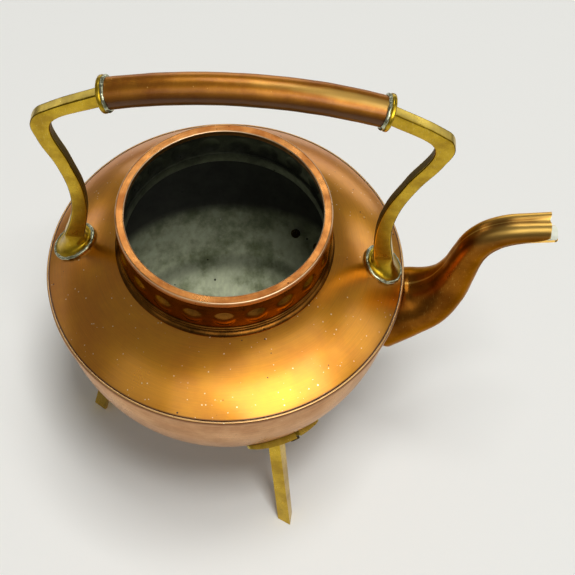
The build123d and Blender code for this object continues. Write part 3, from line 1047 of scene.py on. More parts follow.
@dataclass
class Bowl:
    """The spun bowl that holds the water, copper outside and tin inside.

    Attributes:
        body: the outside that it belongs to.
        steps: points round the axis.
        spans: points from the bottom to the top.
        dent: how far the deepest dents go in.
        dent_size: how wide they are.
        shade_edge: height above the bottom at which the painted shade inside turns black.
        shade_fade: how softly it does.
        dark_shade: how black it is there.
        shadow_line: height of the painted shadow band across the inside.
        shadow_width: its width.
        shadow_depth: how dark it is.
        film: how dark the painted shade is between the band and the black.
        wander: how far the band and the black rise and fall round the bowl, once and three times a turn.
    """

    body: Envelope
    steps: int = 256
    spans: int = 80
    dent: float = 0.35
    dent_size: float = 26.0
    shade_edge: float = 43.0
    shade_fade: float = 8.0
    dark_shade: float = 0.97
    shadow_line: float = 24.0
    shadow_width: float = 4.5
    shadow_depth: float = 0.65
    film: float = 0.4
    wander: tuple = (2.0, 1.2)

    def quarter(self, offset: float) -> list[tuple[float, float]]:
        """Points of the bowl's quarter ellipse from its bottom to its top.

        Args:
            offset: how far the line is moved out.

        Returns:
            Radius and height of each point.
        """
        deep = self.body.bowl_top - self.body.bowl_bottom + offset
        wide = self.body.bowl_radius + offset
        turns = [math.pi / 2 * i / self.spans for i in range(self.spans + 1)]
        return [(wide * math.sin(turn), self.body.bowl_top - deep * math.cos(turn)) for turn in turns]

    def inner_shade(self, z: float, turn: float) -> float:
        """How dark the painted shade lies inside: a painted shadow band, darker above it and black in the
        upper part.

        Args:
            z: height of the place.
            turn: its angle round the axis.

        Returns:
            0 for unshaded tin, up to 1.
        """
        # painted shade inside: a painted shadow band, a darker zone above it and black in the upper part
        once, thrice = self.wander
        level = z - self.body.bowl_bottom - once * math.cos(turn) - thrice * math.sin(3 * turn)
        above = min(1.0, max(0.0, (level - self.shade_edge) / self.shade_fade))
        line = math.exp(-(((level - self.shadow_line) / self.shadow_width) ** 2))
        film = min(1.0, max(0.0, (level - self.shadow_line) / self.shadow_width))
        return max(self.dark_shade * above, self.shadow_depth * line, self.film * film)

    def build(self, hole: bpy.types.Object) -> bpy.types.Object:
        """Turn the bowl and open it into the spout.

        Args:
            hole: closed shape of the spout's inside.

        Returns:
            The bowl.
        """
        body = self.body
        outside, within = self.quarter(0.0), list(reversed(self.quarter(-body.sheet)))
        rim = [
            (body.bowl_radius + body.flange_width, body.bowl_top),
            (body.bowl_radius + body.flange_width, body.bowl_top + body.flange_thickness),
            (body.bowl_radius - body.sheet, body.bowl_top + body.flange_thickness),
        ]
        profile = outside + rim + within
        # 0 is the copper outside and on the flange, 1 the tin inside
        bands = [0] * (len(outside) + 2) + [1] * (len(within) + 1)

        # painted shade on the tin inside
        def inner_shade_at(i: int, j: int) -> float:
            """Painted shade on the tin, at a point of the profile and a place round the axis."""
            if not bands[min(i, len(bands) - 1)]:
                return 0.0
            return self.inner_shade(profile[i][1], math.tau * j / self.steps)

        made = lathe(
            "bowl_skin",
            profile,
            [BOWL_COPPER.material(), TIN.material()],
            self.steps,
            bands,
            shade_marks=inner_shade_at,
            dent=self.dent,
            dent_size=self.dent_size,
        )
        cut = made.modifiers.new("spout hole", "BOOLEAN")
        cut.operation, cut.solver, cut.object = "DIFFERENCE", "EXACT", hole
        graph = bpy.context.evaluated_depsgraph_get()
        data = bpy.data.meshes.new_from_object(made.evaluated_get(graph))
        made.modifiers.remove(cut)
        made.data = data
        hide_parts("bowl")
        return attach(made, "root")


@dataclass
class Shoulder:
    """The spun cone with its folded hem, chased groove and upturned lip.

    Attributes:
        body: the outside that it belongs to.
        steps: points round the axis.
        spans: points from the lip to the groove.
        dent: how far the deepest dents go in.
        dent_size: how wide they are.
        bead_highlight: how bright the bead's crest is painted, a painted highlight with some wear.
        groove_shade: how dark the painted shade is in the groove and under the bead.
    """

    body: Envelope
    steps: int = 320
    spans: int = 56
    dent: float = 0.25
    dent_size: float = 19.0
    bead_highlight: float = 0.35
    groove_shade: float = 0.9

    def build(self) -> bpy.types.Object:
        """Turn the shoulder.

        Returns:
            The shoulder.
        """
        body = self.body
        outside = body.shoulder_line(0.0, self.spans)
        within = list(reversed(body.shoulder_line(-body.sheet, self.spans // 2)))
        bead_start = (body.radius - body.bead_width, body.hem_top - body.groove_depth / 3)
        bead_end = (body.radius, body.hem_top - body.bead_width)
        bead_crest = (body.radius - body.bead_width * 0.3, body.hem_top - body.bead_width * 0.45)
        bead = arc(bead_start, bead_crest, bead_end, 10)
        groove = [
            (body.edge + body.groove_width * 0.3, body.hem_top - body.groove_depth),
            (body.edge + body.groove_width * 0.7, body.hem_top - body.groove_depth),
        ]
        channel_top = body.bowl_top + body.flange_thickness + body.seat
        channel_radius = body.bowl_radius + body.flange_width + body.seat
        hem = [
            (body.radius, body.hem_bottom + body.hem_wall / 2),
            (body.radius - body.hem_wall * 0.12, body.hem_bottom + body.hem_wall * 0.12),
            (body.radius - body.hem_wall / 2, body.hem_bottom),
            (body.bowl_radius + body.seat, body.hem_bottom),
            (body.bowl_radius + body.seat, body.bowl_top - body.seat),
            (channel_radius, body.bowl_top - body.seat),
            (channel_radius, channel_top),
            (body.bowl_radius, channel_top),
        ]
        lip_top = body.shoulder_top + body.lip_height
        lip = [
            (body.lip_radius - body.sheet, body.shoulder_top),
            (body.lip_radius - body.sheet, lip_top),
            (body.lip_radius, lip_top),
        ]
        profile = outside + groove + bead + hem + within + lip
        under = len(outside) + len(groove) + len(bead)
        # 0 is the cone and the bead, 2 the side of the hem, 1 the inside
        bands = [0] * (under - 2) + [2] * 5 + [1] * (len(profile) - under - 3)
        trough = range(len(outside) - 1, len(outside) + len(groove))
        crest = range(trough[-1] + 1, under - 4)
        shaded = (*trough, under - 3, under - 2, under - 1)
        made = lathe(
            "shoulder_skin",
            profile,
            [SHOULDER_COPPER.material(), COLLAR_TIN.material(), BOWL_COPPER.material()],
            self.steps,
            bands,
            # painted highlight on the bead's crest; painted shade in the groove and under the bead
            lambda i, j: self.bead_highlight if i in crest else 0.0,
            lambda i, j: self.groove_shade if i in shaded else 0.0,
            loop=True,
            dent=self.dent,
            dent_size=self.dent_size,
        )
        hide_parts("shoulder")
        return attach(made, "root")


@dataclass
class Neck:
    """The collar with its row of pressed bosses, and the mouth ring on top of it.

    Attributes:
        body: the outside that it belongs to.
        foot_width: how far the collar's foot spreads on the shoulder.
        foot_thickness: height of the foot before it sweeps up.
        bead_radius: radius of the beads round the root of the neck.
        bead_pitch: distance between them.
        beads: how many there are.
        bosses: how many bosses stand round the neck.
        boss_radius: radius of a boss.
        boss_proud: how far a boss stands out.
        boss_drop: distance of the row below the neck's top.
        boss_phase: angle of the first boss in degrees.
        boss_highlight: how bright the painted highlight on the bosses' tops is, with their wear.
        ring_width: width of the mouth ring.
        ring_round: radius of its edges.
        ring_highlight: how bright the painted highlight on those edges is.
        steps: points round the collar.
        ring_steps: points round the ring.
    """

    body: Envelope
    foot_width: float = 2.2
    foot_thickness: float = 1.2
    bead_radius: float = 0.7
    bead_pitch: float = 2.0
    beads: int = 2
    bosses: int = 21
    boss_radius: float = 5.4
    boss_proud: float = 1.1
    boss_drop: float = 11.0
    boss_phase: float = 0.8
    boss_highlight: float = 0.05
    ring_width: float = 4.5
    ring_round: float = 0.8
    ring_highlight: float = 0.7
    steps: int = 504
    ring_steps: int = 320

    def press_tree(self) -> bpy.types.NodeTree:
        """Geometry tree that presses round bosses out of a turned wall.

        Returns:
            The tree, with a mesh and the bosses' sizes as inputs.
        """
        tree, inputs = plant(
            "press bosses",
            {
                "Geometry": ("NodeSocketGeometry", None),
                "Count": ("NodeSocketFloat", 20.0),
                "Radius": ("NodeSocketFloat", 0.005),
                "Proud": ("NodeSocketFloat", 0.001),
                "Height": ("NodeSocketFloat", 0.0),
                "Phase": ("NodeSocketFloat", 0.0),
                "Wall": ("NodeSocketFloat", 0.05),
                "Finish": ("NodeSocketMaterial", None),
                "Lining": ("NodeSocketMaterial", None),
            },
        )
        # angle from the nearest boss, as a distance along the wall
        place = add(tree, "GeometryNodeInputPosition")
        split = add(tree, "ShaderNodeSeparateXYZ", {0: place}, pick=None)
        turn = add(tree, "ShaderNodeMath", {0: split.outputs[1], 1: split.outputs[0]}, operation="ARCTAN2")
        turn = add(tree, "ShaderNodeMath", {0: turn, 1: inputs.outputs["Phase"]}, operation="SUBTRACT")
        pitch = add(tree, "ShaderNodeMath", {0: math.tau, 1: inputs.outputs["Count"]}, operation="DIVIDE")
        half = add(tree, "ShaderNodeMath", {0: pitch, 1: 0.5}, operation="MULTIPLY")
        low = add(tree, "ShaderNodeMath", {0: half, 1: -1.0}, operation="MULTIPLY")
        off = add(tree, "ShaderNodeMath", {0: turn, 1: half, 2: low}, operation="WRAP")
        across = add(tree, "ShaderNodeMath", {0: off, 1: inputs.outputs["Wall"]}, operation="MULTIPLY")
        # a cap of a paraboloid over each boss
        up = add(
            tree, "ShaderNodeMath", {0: split.outputs[2], 1: inputs.outputs["Height"]}, operation="SUBTRACT"
        )
        both = add(tree, "ShaderNodeCombineXYZ", {0: across, 1: up})
        away = add(tree, "ShaderNodeVectorMath", {0: both}, pick="Value", operation="LENGTH")
        share = add(tree, "ShaderNodeMath", {0: away, 1: inputs.outputs["Radius"]}, operation="DIVIDE")
        square = add(tree, "ShaderNodeMath", {0: share, 1: 2.0}, operation="POWER")
        cap = add(tree, "ShaderNodeMath", {0: 1.0, 1: square}, operation="SUBTRACT", use_clamp=True)
        push = add(tree, "ShaderNodeMath", {0: cap, 1: inputs.outputs["Proud"]}, operation="MULTIPLY")
        level = add(tree, "ShaderNodeVectorMath", {0: place, 1: (1, 1, 0)}, operation="MULTIPLY")
        outward = add(tree, "ShaderNodeVectorMath", {0: level}, operation="NORMALIZE")
        move = add(tree, "ShaderNodeVectorMath", {0: outward, "Scale": push}, operation="SCALE")
        moved = add(
            tree, "GeometryNodeSetPosition", {"Geometry": inputs.outputs["Geometry"], "Offset": move}
        )
        # a painted highlight on each boss's top, with some wear
        cap_highlight = add(
            tree,
            "ShaderNodeMapRange",
            {"Value": cap, "From Min": 0.5, "From Max": 1.0, "To Min": 0.0, "To Max": self.boss_highlight},
        )
        marked = add(
            tree,
            "GeometryNodeStoreNamedAttribute",
            {"Geometry": moved, "Name": "rubbed", "Value": cap_highlight},
            data_type="FLOAT",
            domain="POINT",
        )
        # the wall comes in with its finishes in two slots, and keeps them
        slot = add(tree, "GeometryNodeInputMaterialIndex")
        lined = add(tree, "ShaderNodeMath", {0: slot, 1: 0.5}, operation="GREATER_THAN")
        marked = add(
            tree,
            "GeometryNodeStoreNamedAttribute",
            {"Geometry": marked, "Name": "lined", "Value": lined},
            data_type="BOOLEAN",
            domain="FACE",
        )
        real = add(tree, "GeometryNodeRealizeInstances", {0: marked})
        dressed = add(
            tree, "GeometryNodeSetMaterial", {"Geometry": real, "Material": inputs.outputs["Finish"]}
        )
        inside = add(tree, "GeometryNodeInputNamedAttribute", {"Name": "lined"}, data_type="BOOLEAN")
        dressed = add(
            tree,
            "GeometryNodeSetMaterial",
            {"Geometry": dressed, "Selection": inside, "Material": inputs.outputs["Lining"]},
        )
        add(tree, "NodeGroupOutput", {0: dressed}, pick=None)
        return tree

    def collar(self) -> bpy.types.Object:
        """Turn the collar and press its bosses.

        Returns:
            The collar.
        """
        body = self.body
        low = body.shoulder_z(body.neck_radius + self.foot_width) + body.seat
        high = body.shoulder_z(body.neck_bore) + body.seat
        root = low + self.foot_thickness + self.foot_width / 2
        outer = body.neck_radius + self.foot_width
        foot = [(body.neck_bore, high), (outer, low), (outer, low + self.foot_thickness / 2)]
        # the foot sweeps up into the wall in a hollow curve
        sag = (
            lerp(outer, body.neck_radius, 0.62),
            lerp(low + self.foot_thickness / 2, root, 0.38),
        )
        foot += arc((outer, low + self.foot_thickness / 2), sag, (body.neck_radius, root), 6)[1:]
        for i in range(self.beads):
            z = root + self.bead_radius + self.bead_pitch * i
            foot += arc(
                (body.neck_radius, z - self.bead_radius),
                (body.neck_radius + self.bead_radius, z),
                (body.neck_radius, z + self.bead_radius),
                8,
            )
        start = foot[-1][1]
        rise = [(body.neck_radius, lerp(start, body.neck_top, i / 40)) for i in range(1, 41)]
        back = [(body.neck_bore, lerp(body.neck_top, high, i / 40)) for i in range(40)]
        copper, tin = COLLAR_COPPER.material(), COLLAR_TIN.material()
        bands = [0] * (len(foot) + len(rise) - 1) + [1] * (len(back) + 1)
        made = lathe(
            "neck_collar_skin",
            foot + rise + back,
            [copper, tin],
            self.steps,
            bands,
            loop=True,
            dent=0.12,
            dent_size=9,
            crease=40,
        )
        made = grown(
            made.name,
            self.press_tree(),
            {
                "Count": float(self.bosses),
                "Radius": self.boss_radius * MM,
                "Proud": self.boss_proud * MM,
                "Height": (body.neck_top - self.boss_drop) * MM,
                "Phase": math.radians(self.boss_phase),
                "Wall": body.neck_radius * MM,
                "Finish": copper,
                "Lining": tin,
            },
            made,
        )
        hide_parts("neck_collar")
        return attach(made, "root")

    def ring(self) -> bpy.types.Object:
        """Turn the mouth ring.

        Returns:
            The ring.
        """
        body = self.body
        inner, outer, turn = body.ring_radius - self.ring_width, body.ring_radius, self.ring_round
        low, high = body.neck_top, body.ring_top
        k = turn * (1 - math.sqrt(0.5))
        profile = [(inner + 0.3, low), (outer - turn, low)]
        profile += arc((outer - turn, low), (outer - k, low + k), (outer, low + turn), 6)[1:]
        top_outer = arc((outer, high - turn), (outer - k, high - k), (outer - turn, high), 6)
        top_inner = arc((inner + turn, high), (inner + k, high - k), (inner, high - turn), 6)
        top = [(lerp(outer - turn, inner + turn, i / 12), high) for i in range(1, 12)]
        profile += top_outer + top + top_inner + [(inner, low + 0.3)]
        # the rounded edges get a painted highlight
        edges = top_outer[2:-2] + top_inner[2:-2]
        made = lathe(
            "mouth_ring_skin",
            profile,
            [RING_COPPER.material()],
            self.ring_steps,
            highlight_marks=lambda i, j: self.ring_highlight if profile[i] in edges else 0.0,
            loop=True,
            dent=0.16,
            dent_size=5,
        )
        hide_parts("mouth_ring")
        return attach(made, "root")

    def build(self) -> list[bpy.types.Object]:
        """Make the collar and the ring, and hand them back."""
        return [self.collar(), self.ring()]


# --- the spout --------------------------------------------------------------------------


@dataclass
class Spout:
    """Gooseneck with a creased seam on top, two lobes at its end and a tongue under them.

    Attributes:
        body: the outside that it leaves.
        wall: thickness of its copper.
        crease_width: how wide the crease on top is, in degrees round the section.
        columns: points round the section.
        rows: spans from the body to the beak.
        rim_step: how far the inside stops short of the beak's cut.
        hole_rows: rings of the shape that opens the bowl.
        hole_columns: points in each of them.
        hole_step: distance between them.
        seam_highlight: how bright the painted highlight along the seam is.
        bend_highlight: how bright the painted highlight on the far bend is, on each side of the seam.
        bend_start: where that begins, as a share of the length.
        bend_rise: share of the length over which it grows.
        bend_at: its middle, in degrees from the seam.
        bend_width: its width in degrees.
        beak_start: where the seam's painted highlight widens towards the beak, as a share of the length.
        beak_width: its width in degrees.
        lip_highlight: how much paler the tinned lip is painted, as a painted highlight.
        lip_rows: how many rows of the inside belong to the lip.
        lobe_end: x at which the two lobes end beside the seam.
        notch_depth: how far the seam is notched between them.
        notch_width: width of the notch in degrees.
        lobe_draw: how far the cut runs back from the lobes to the tongue's root.
        lobe_flat: share of the way round a lobe before the cut runs back.
        tongue_end: x at which the tongue ends.
        tongue_half: half its width in degrees.
        tongue_bow: how far its corners lie behind its tip.
        stations: x, z, radius and depth of the crease along the gooseneck.
    """

    body: Envelope
    wall: float = 1.0
    crease_width: float = 26.0
    columns: int = 96
    rows: int = 150
    rim_step: float = 0.15
    hole_rows: int = 30
    hole_columns: int = 64
    hole_step: float = 1.4
    seam_highlight: float = 0.45
    bend_highlight: float = 0.9
    bend_start: float = 0.66
    bend_rise: float = 0.2
    bend_at: float = 38.0
    bend_width: float = 24.0
    beak_start: float = 0.9
    beak_width: float = 14.0
    lip_highlight: float = 0.8
    lip_rows: int = 12
    lobe_end: float = 155.8
    notch_depth: float = 0.8
    notch_width: float = 16.0
    lobe_draw: float = 14.0
    lobe_flat: float = 0.6
    tongue_end: float = 160.5
    tongue_half: float = 44.0
    tongue_bow: float = 2.2
    stations: list = field(
        default_factory=lambda: [
            (80.0, 127.0, 21.0, 0.00),
            (92.9, 134.2, 18.1, 0.02),
            (102.0, 140.2, 15.8, 0.05),
            (110.4, 151.5, 12.0, 0.09),
            (115.6, 165.7, 9.3, 0.10),
            (119.0, 179.8, 8.3, 0.10),
            (122.4, 190.6, 7.9, 0.10),
            (128.4, 199.2, 7.6, 0.11),
            (136.8, 204.8, 7.3, 0.13),
            (147.0, 207.6, 7.1, 0.15),
            (157.0, 209.3, 7.4, 0.17),
            (166.0, 210.6, 7.9, 0.17),
        ]
    )

    def __post_init__(self) -> None:
        """Draw the gooseneck."""
        self.track = Track(self.stations, 2)

    def at(self, distance: float, turn: float, shrink: float) -> Vector:
        """Point of the spout's skin.

        Args:
            distance: along the gooseneck.
            turn: degrees round the section from the seam on top.
            shrink: how far the skin is drawn in.

        Returns:
            The point.
        """
        x, z, radius, crease = self.track.point(distance)
        ax, az, *_ = self.track.point(distance + 0.5)
        bx, bz, *_ = self.track.point(distance - 0.5)
        along = Vector((ax - bx, 0, az - bz)).normalized()
        up = Vector((-along.z, 0, along.x))
        from_seam = min(turn, 360 - turn)
        reach = radius * (1 - crease * math.exp(-((from_seam / self.crease_width) ** 2))) - shrink
        a = math.radians(turn)
        return Vector((x, 0, z)) + Vector((0, 1, 0)) * reach * math.sin(a) + up * reach * math.cos(a)

    def leave(self, turn: float, shrink: float) -> float:
        """Distance at which a line of the skin leaves the body.

        Args:
            turn: degrees round the section from the seam on top.
            shrink: how far the skin is drawn in.

        Returns:
            The distance along the gooseneck.
        """
        step, found = 0.5, 0.0
        distance = 0.0
        # the body lies within the first part of the gooseneck
        while distance < self.track.length * 0.4:
            if self.body.inside(self.at(distance, turn, shrink)):
                found = distance
            distance += step
        low, high = found, found + step
        for _ in range(12):
            middle = (low + high) / 2
            low, high = (middle, high) if self.body.inside(self.at(middle, turn, shrink)) else (low, middle)
        return low

    def end_x(self, turn: float) -> float:
        """How far out a line of the skin runs before the beak's cut.

        Args:
            turn: degrees round the section from the seam on top.

        Returns:
            The x of the line's end.
        """
        from_seam = min(turn, 360 - turn)
        from_below = 180 - from_seam
        if from_below < self.tongue_half:
            share = from_below / self.tongue_half
            return self.tongue_end - self.tongue_bow * share**4
        share = from_seam / (180 - self.tongue_half)
        notch = self.notch_depth * math.exp(-((from_seam / self.notch_width) ** 2))
        back = max(0.0, (share - self.lobe_flat) / (1 - self.lobe_flat)) ** 1.3
        return self.lobe_end - self.lobe_draw * back - notch

    def line(self, turn: float, shrink: float, pull: float = 0.0) -> list[Vector]:
        """Points of one line of the skin, from the body to the beak.

        Args:
            turn: degrees round the section from the seam on top.
            shrink: how far the skin is drawn in.
            pull: how far the line stops short of the cut.

        Returns:
            The points.
        """
        start = self.leave(turn, shrink)
        low, high = self.track.length * 0.6, self.track.length
        goal = self.end_x(turn) - pull
        for _ in range(24):
            middle = (low + high) / 2
            low, high = (middle, high) if self.at(middle, turn, shrink).x < goal else (low, middle)
        return [self.at(lerp(start, low, i / self.rows), turn, shrink) for i in range(self.rows + 1)]

    def hole(self) -> bpy.types.Object:
        """Closed shape of the spout's inside near its root, to open the bowl with.

        Returns:
            The shape, which main takes away again.
        """
        turns = [360 * j / self.hole_columns for j in range(self.hole_columns)]
        places = [i * self.hole_step for i in range(self.hole_rows)]
        rows = [[self.at(place, turn, self.wall) for turn in turns] for place in places]
        return skin("spout_hole", rows, [TIN.material()])

    def highlights(self, row: int, column: int) -> float:
        """Painted highlights: on the seam, the far bend, the beak and the tinned lip.

        Args:
            row: ring of the mesh, from the body out to the beak and back inside.
            column: place in the ring, from the seam round.

        Returns:
            0 for no painted highlight, up to 1.
        """
        from_seam = 360 * min(column, self.columns - column) / self.columns
        along = row / self.rows
        if along <= 1 and column == 0:
            return self.seam_highlight
        if along < 1:
            bend = min(1.0, max(0.0, (along - self.bend_start) / self.bend_rise))
            bend *= self.bend_highlight * math.exp(-(((from_seam - self.bend_at) / self.bend_width) ** 2))
            beak = max(0.0, (along - self.beak_start) / (1 - self.beak_start))
            return max(bend, beak * math.exp(-((from_seam / self.beak_width) ** 2)))
        return self.lip_highlight if row < self.rows + self.lip_rows else 0.0

    def build(self) -> bpy.types.Object:
        """Make the spout as one wall with an outside, an inside and two rims.

        Returns:
            The spout.
        """
        turns = [360 * i / self.columns for i in range(self.columns)]
        outside = [self.line(turn, 0.0) for turn in turns]
        within = [self.line(turn, self.wall, self.rim_step) for turn in turns]
        rows = [[column[i] for column in outside] for i in range(self.rows + 1)]
        rows += [[column[i] for column in within] for i in reversed(range(self.rows + 1))]
        # 0 is the copper outside and on the two rims, 1 the tin inside
        bands = [0] * self.rows + [0] + [1] * self.rows + [0]
        made = skin(
            "spout_skin",
            rows,
            [SPOUT_COPPER.material(), TIN.material()],
            bands,
            self.highlights,
            loop=True,
        )
        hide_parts("spout")
        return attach(made, "root")


# --- the handle -------------------------------------------------------------------------


@dataclass
class Handle:
    """Copper grip tube between two brass brackets that stand on the shoulder.

    Attributes:
        body: the outside that it stands on.
        lean: how far it leans towards the spout for each millimetre of height.
        foot_radius: half a foot's size across the handle.
        foot_edge: thickness of a foot at its edge.
        foot_height: height of the flare above the foot.
        foot_spans: for each side, the foot's distance from the axis and half its size along the handle.
        foot_back: how far the feet's middles lie behind the handle's plane.
        foot_neck: half the bar's depth where it starts to flare.
        bar_width: width of a bar across the handle.
        bar_corner: radius of a bar's filed edges.
        bar_spans: rings along a bar.
        flare_spans: rings down its flare.
        corner_spans: spans round each filed edge.
        edge_shade: how dark the painted shade is on the filed edges and the inner face's middle.
        top_highlight: how bright the painted highlight along the outer face's middle is.
        grip_radius: radius of the grip.
        grip_half: half the grip's length.
        grip_middle_z: height of its middle.
        grip_end_z: height of its ends.
        glint_side: direction that the grip's painted highlight faces.
        glint: how bright the painted highlight is there.
        under_shade: how dark the painted shade is under the grip.
        ferrule_radius: radius of a ferrule.
        ferrule_thickness: its thickness.
        ferrule_round: radius of its edges.
        ferrule_steps: points round it.
        outer: reach and height of the bracket's outer line, from the ferrule down.
        inner: reach and height of its inner line.
    """

    body: Envelope
    lean: float = 0.086
    foot_radius: float = 10.0
    foot_edge: float = 1.0
    foot_height: float = 11.0
    foot_spans: dict = field(default_factory=lambda: {Side.FRONT: (78.8, 10.5), Side.REAR: (75.8, 11.4)})
    foot_back: float = 1.4
    foot_neck: float = 4.9
    bar_width: float = 5.4
    bar_corner: float = 0.8
    bar_spans: int = 90
    flare_spans: int = 26
    corner_spans: int = 8
    edge_shade: float = 0.85
    top_highlight: float = 0.22
    grip_radius: float = 7.4
    grip_half: float = 61.6
    grip_middle_z: float = 297.7
    grip_end_z: float = 288.8
    glint_side: tuple = (0.34, -0.24, 0.91)
    glint: float = 0.85
    under_shade: float = 0.85
    ferrule_radius: float = 8.7
    ferrule_thickness: float = 2.2
    ferrule_round: float = 0.8
    ferrule_steps: int = 64
    outer: list = field(
        default_factory=lambda: [
            (88.5, 277.0),
            (93.9, 272.7),
            (95.9, 267.0),
            (92.8, 254.5),
            (84.6, 236.0),
            (78.9, 217.0),
            (77.5, 203.0),
            (78.6, 190.0),
        ]
    )
    inner: list = field(
        default_factory=lambda: [(86.2, 267.8), (78.0, 238.0), (72.1, 219.0), (70.0, 203.0), (70.4, 188.0)]
    )

    def leaned(self, side: Side, reach: float, z: float) -> Vector:
        """Point of the handle's upright plane after its lean towards the spout."""
        return Vector((side.value * reach + self.lean * (z - self.body.hem_top), 0, z))

    def grip_tree(self) -> bpy.types.NodeTree:
        """Geometry tree that bends a slightly uneven tube along an arc.

        Returns:
            The tree, with the arc's points, the radius and the finish as inputs.
        """
        tree, inputs = plant(
            "bend grip",
            {
                "Start": ("NodeSocketVector", (0, 0, 0)),
                "Middle": ("NodeSocketVector", (0, 0, 0)),
                "End": ("NodeSocketVector", (0, 0, 0)),
                "Radius": ("NodeSocketFloat", 0.007),
                "Finish": ("NodeSocketMaterial", None),
            },
        )
        path = add(
            tree,
            "GeometryNodeCurveArc",
            {
                "Resolution": 90,
                "Start": inputs.outputs["Start"],
                "Middle": inputs.outputs["Middle"],
                "End": inputs.outputs["End"],
            },
            mode="POINTS",
        )
        round_ = add(
            tree, "GeometryNodeCurvePrimitiveCircle", {"Resolution": 48, "Radius": inputs.outputs["Radius"]}
        )
        tube = add(
            tree, "GeometryNodeCurveToMesh", {"Curve": path, "Profile Curve": round_, "Fill Caps": True}
        )
        wave = add(tree, "ShaderNodeTexNoise", {"Scale": 60.0, "Detail": 2.0})
        dip = add(
            tree,
            "ShaderNodeMapRange",
            {"Value": wave, "From Min": 0.3, "From Max": 0.7, "To Min": -0.00025, "To Max": 0.0},
        )
        normal = add(tree, "GeometryNodeInputNormal")
        move = add(tree, "ShaderNodeVectorMath", {0: normal, "Scale": dip}, operation="SCALE")
        worn = add(tree, "GeometryNodeSetPosition", {"Geometry": tube, "Offset": move})
        # painted shade on the grip's underside
        facing = add(tree, "ShaderNodeSeparateXYZ", {0: normal}, pick=2)
        under = add(
            tree,
            "ShaderNodeMapRange",
            {"Value": facing, "From Min": 0.88, "From Max": 0.25, "To Min": 0.0, "To Max": self.under_shade},
        )
        # a painted highlight on the side of the grip that faces one direction
        toward = add(
            tree,
            "ShaderNodeVectorMath",
            {0: normal, 1: self.glint_side},
            pick="Value",
            operation="DOT_PRODUCT",
        )
        glint_mask = add(
            tree,
            "ShaderNodeMapRange",
            {"Value": toward, "From Min": 0.92, "From Max": 1.0, "To Min": 0.0, "To Max": self.glint},
            interpolation_type="SMOOTHSTEP",
        )
        worn = add(
            tree,
            "GeometryNodeStoreNamedAttribute",
            {"Geometry": worn, "Name": "rubbed", "Value": glint_mask},
            data_type="FLOAT",
            domain="POINT",
        )
        worn = add(
            tree,
            "GeometryNodeStoreNamedAttribute",
            {"Geometry": worn, "Name": "painted_shade", "Value": under},
            data_type="FLOAT",
            domain="POINT",
        )
        close_tree(tree, worn, inputs.outputs["Finish"])
        return tree

    def bead_tree(self) -> bpy.types.NodeTree:
        """Geometry tree of a lumpy solder bead round a joint.

        Returns:
            The tree, with the bead's radius, thickness, place and turn as inputs.
        """
        tree, inputs = plant(
            "solder bead",
            {
                "Radius": ("NodeSocketFloat", 0.008),
                "Thickness": ("NodeSocketFloat", 0.001),
                "Lumps": ("NodeSocketFloat", 0.0005),
                "Seed": ("NodeSocketFloat", 1.0),
                "Place": ("NodeSocketVector", (0, 0, 0)),
                "Turn": ("NodeSocketVector", (0, 0, 0)),
                "Stretch": ("NodeSocketVector", (1, 1, 1)),
                "Finish": ("NodeSocketMaterial", None),
            },
        )
        circle = "GeometryNodeCurvePrimitiveCircle"
        path = add(tree, circle, {"Resolution": 120, "Radius": inputs.outputs["Radius"]})
        round_ = add(tree, circle, {"Resolution": 14, "Radius": inputs.outputs["Thickness"]})
        bead = add(tree, "GeometryNodeCurveToMesh", {"Curve": path, "Profile Curve": round_})
        wave = add(
            tree,
            "ShaderNodeTexNoise",
            {"W": inputs.outputs["Seed"], "Scale": 420.0, "Detail": 2.0},
            noise_dimensions="4D",
        )
        centred = add(tree, "ShaderNodeMath", {0: wave, 1: 0.5}, operation="SUBTRACT")
        push = add(tree, "ShaderNodeMath", {0: centred, 1: inputs.outputs["Lumps"]}, operation="MULTIPLY")
        normal = add(tree, "GeometryNodeInputNormal")
        move = add(tree, "ShaderNodeVectorMath", {0: normal, "Scale": push}, operation="SCALE")
        lumpy = add(tree, "GeometryNodeSetPosition", {"Geometry": bead, "Offset": move})
        placed = add(
            tree,
            "GeometryNodeTransform",
            {
                "Geometry": lumpy,
                "Translation": inputs.outputs["Place"],
                "Rotation": inputs.outputs["Turn"],
                "Scale": inputs.outputs["Stretch"],
            },
        )
        close_tree(tree, placed, inputs.outputs["Finish"])
        return tree

    def grip_along(self, side: Side) -> tuple[Vector, Vector]:
        """End of the grip's arc, and its direction out of the tube there.

        Args:
            side: end of the handle.

        Returns:
            The point and the unit direction.
        """
        rear, front = (self.leaned(one, self.grip_half, self.grip_end_z) for one in (Side.REAR, Side.FRONT))
        middle = self.leaned(Side.FRONT, 0, self.grip_middle_z)
        points = arc((rear.x, rear.z), (middle.x, middle.z), (front.x, front.z), 200)
        if side is Side.REAR:
            points.reverse()
        (x0, z0), (x1, z1) = points[-2:]
        end = front if side is Side.FRONT else rear
        return end, Vector((x1 - x0, 0, z1 - z0)).normalized()

    def foot_seat(self, side: Side) -> tuple[Vector, Vector]:
        """Middle of a foot on the shoulder, and the shoulder's normal there.

        Args:
            side: end of the handle.

        Returns:
            The point and the unit normal.
        """
        reach, _ = self.foot_spans[side]
        z = self.body.shoulder_z(reach)
        run = self.body.shoulder_z(reach - 0.5) - self.body.shoulder_z(reach + 0.5)
        tilt = math.atan2(run, 1.0)
        return (
            Vector((side.value * reach, self.foot_back, z)),
            Vector((side.value * math.sin(tilt), 0, math.cos(tilt))),
        )

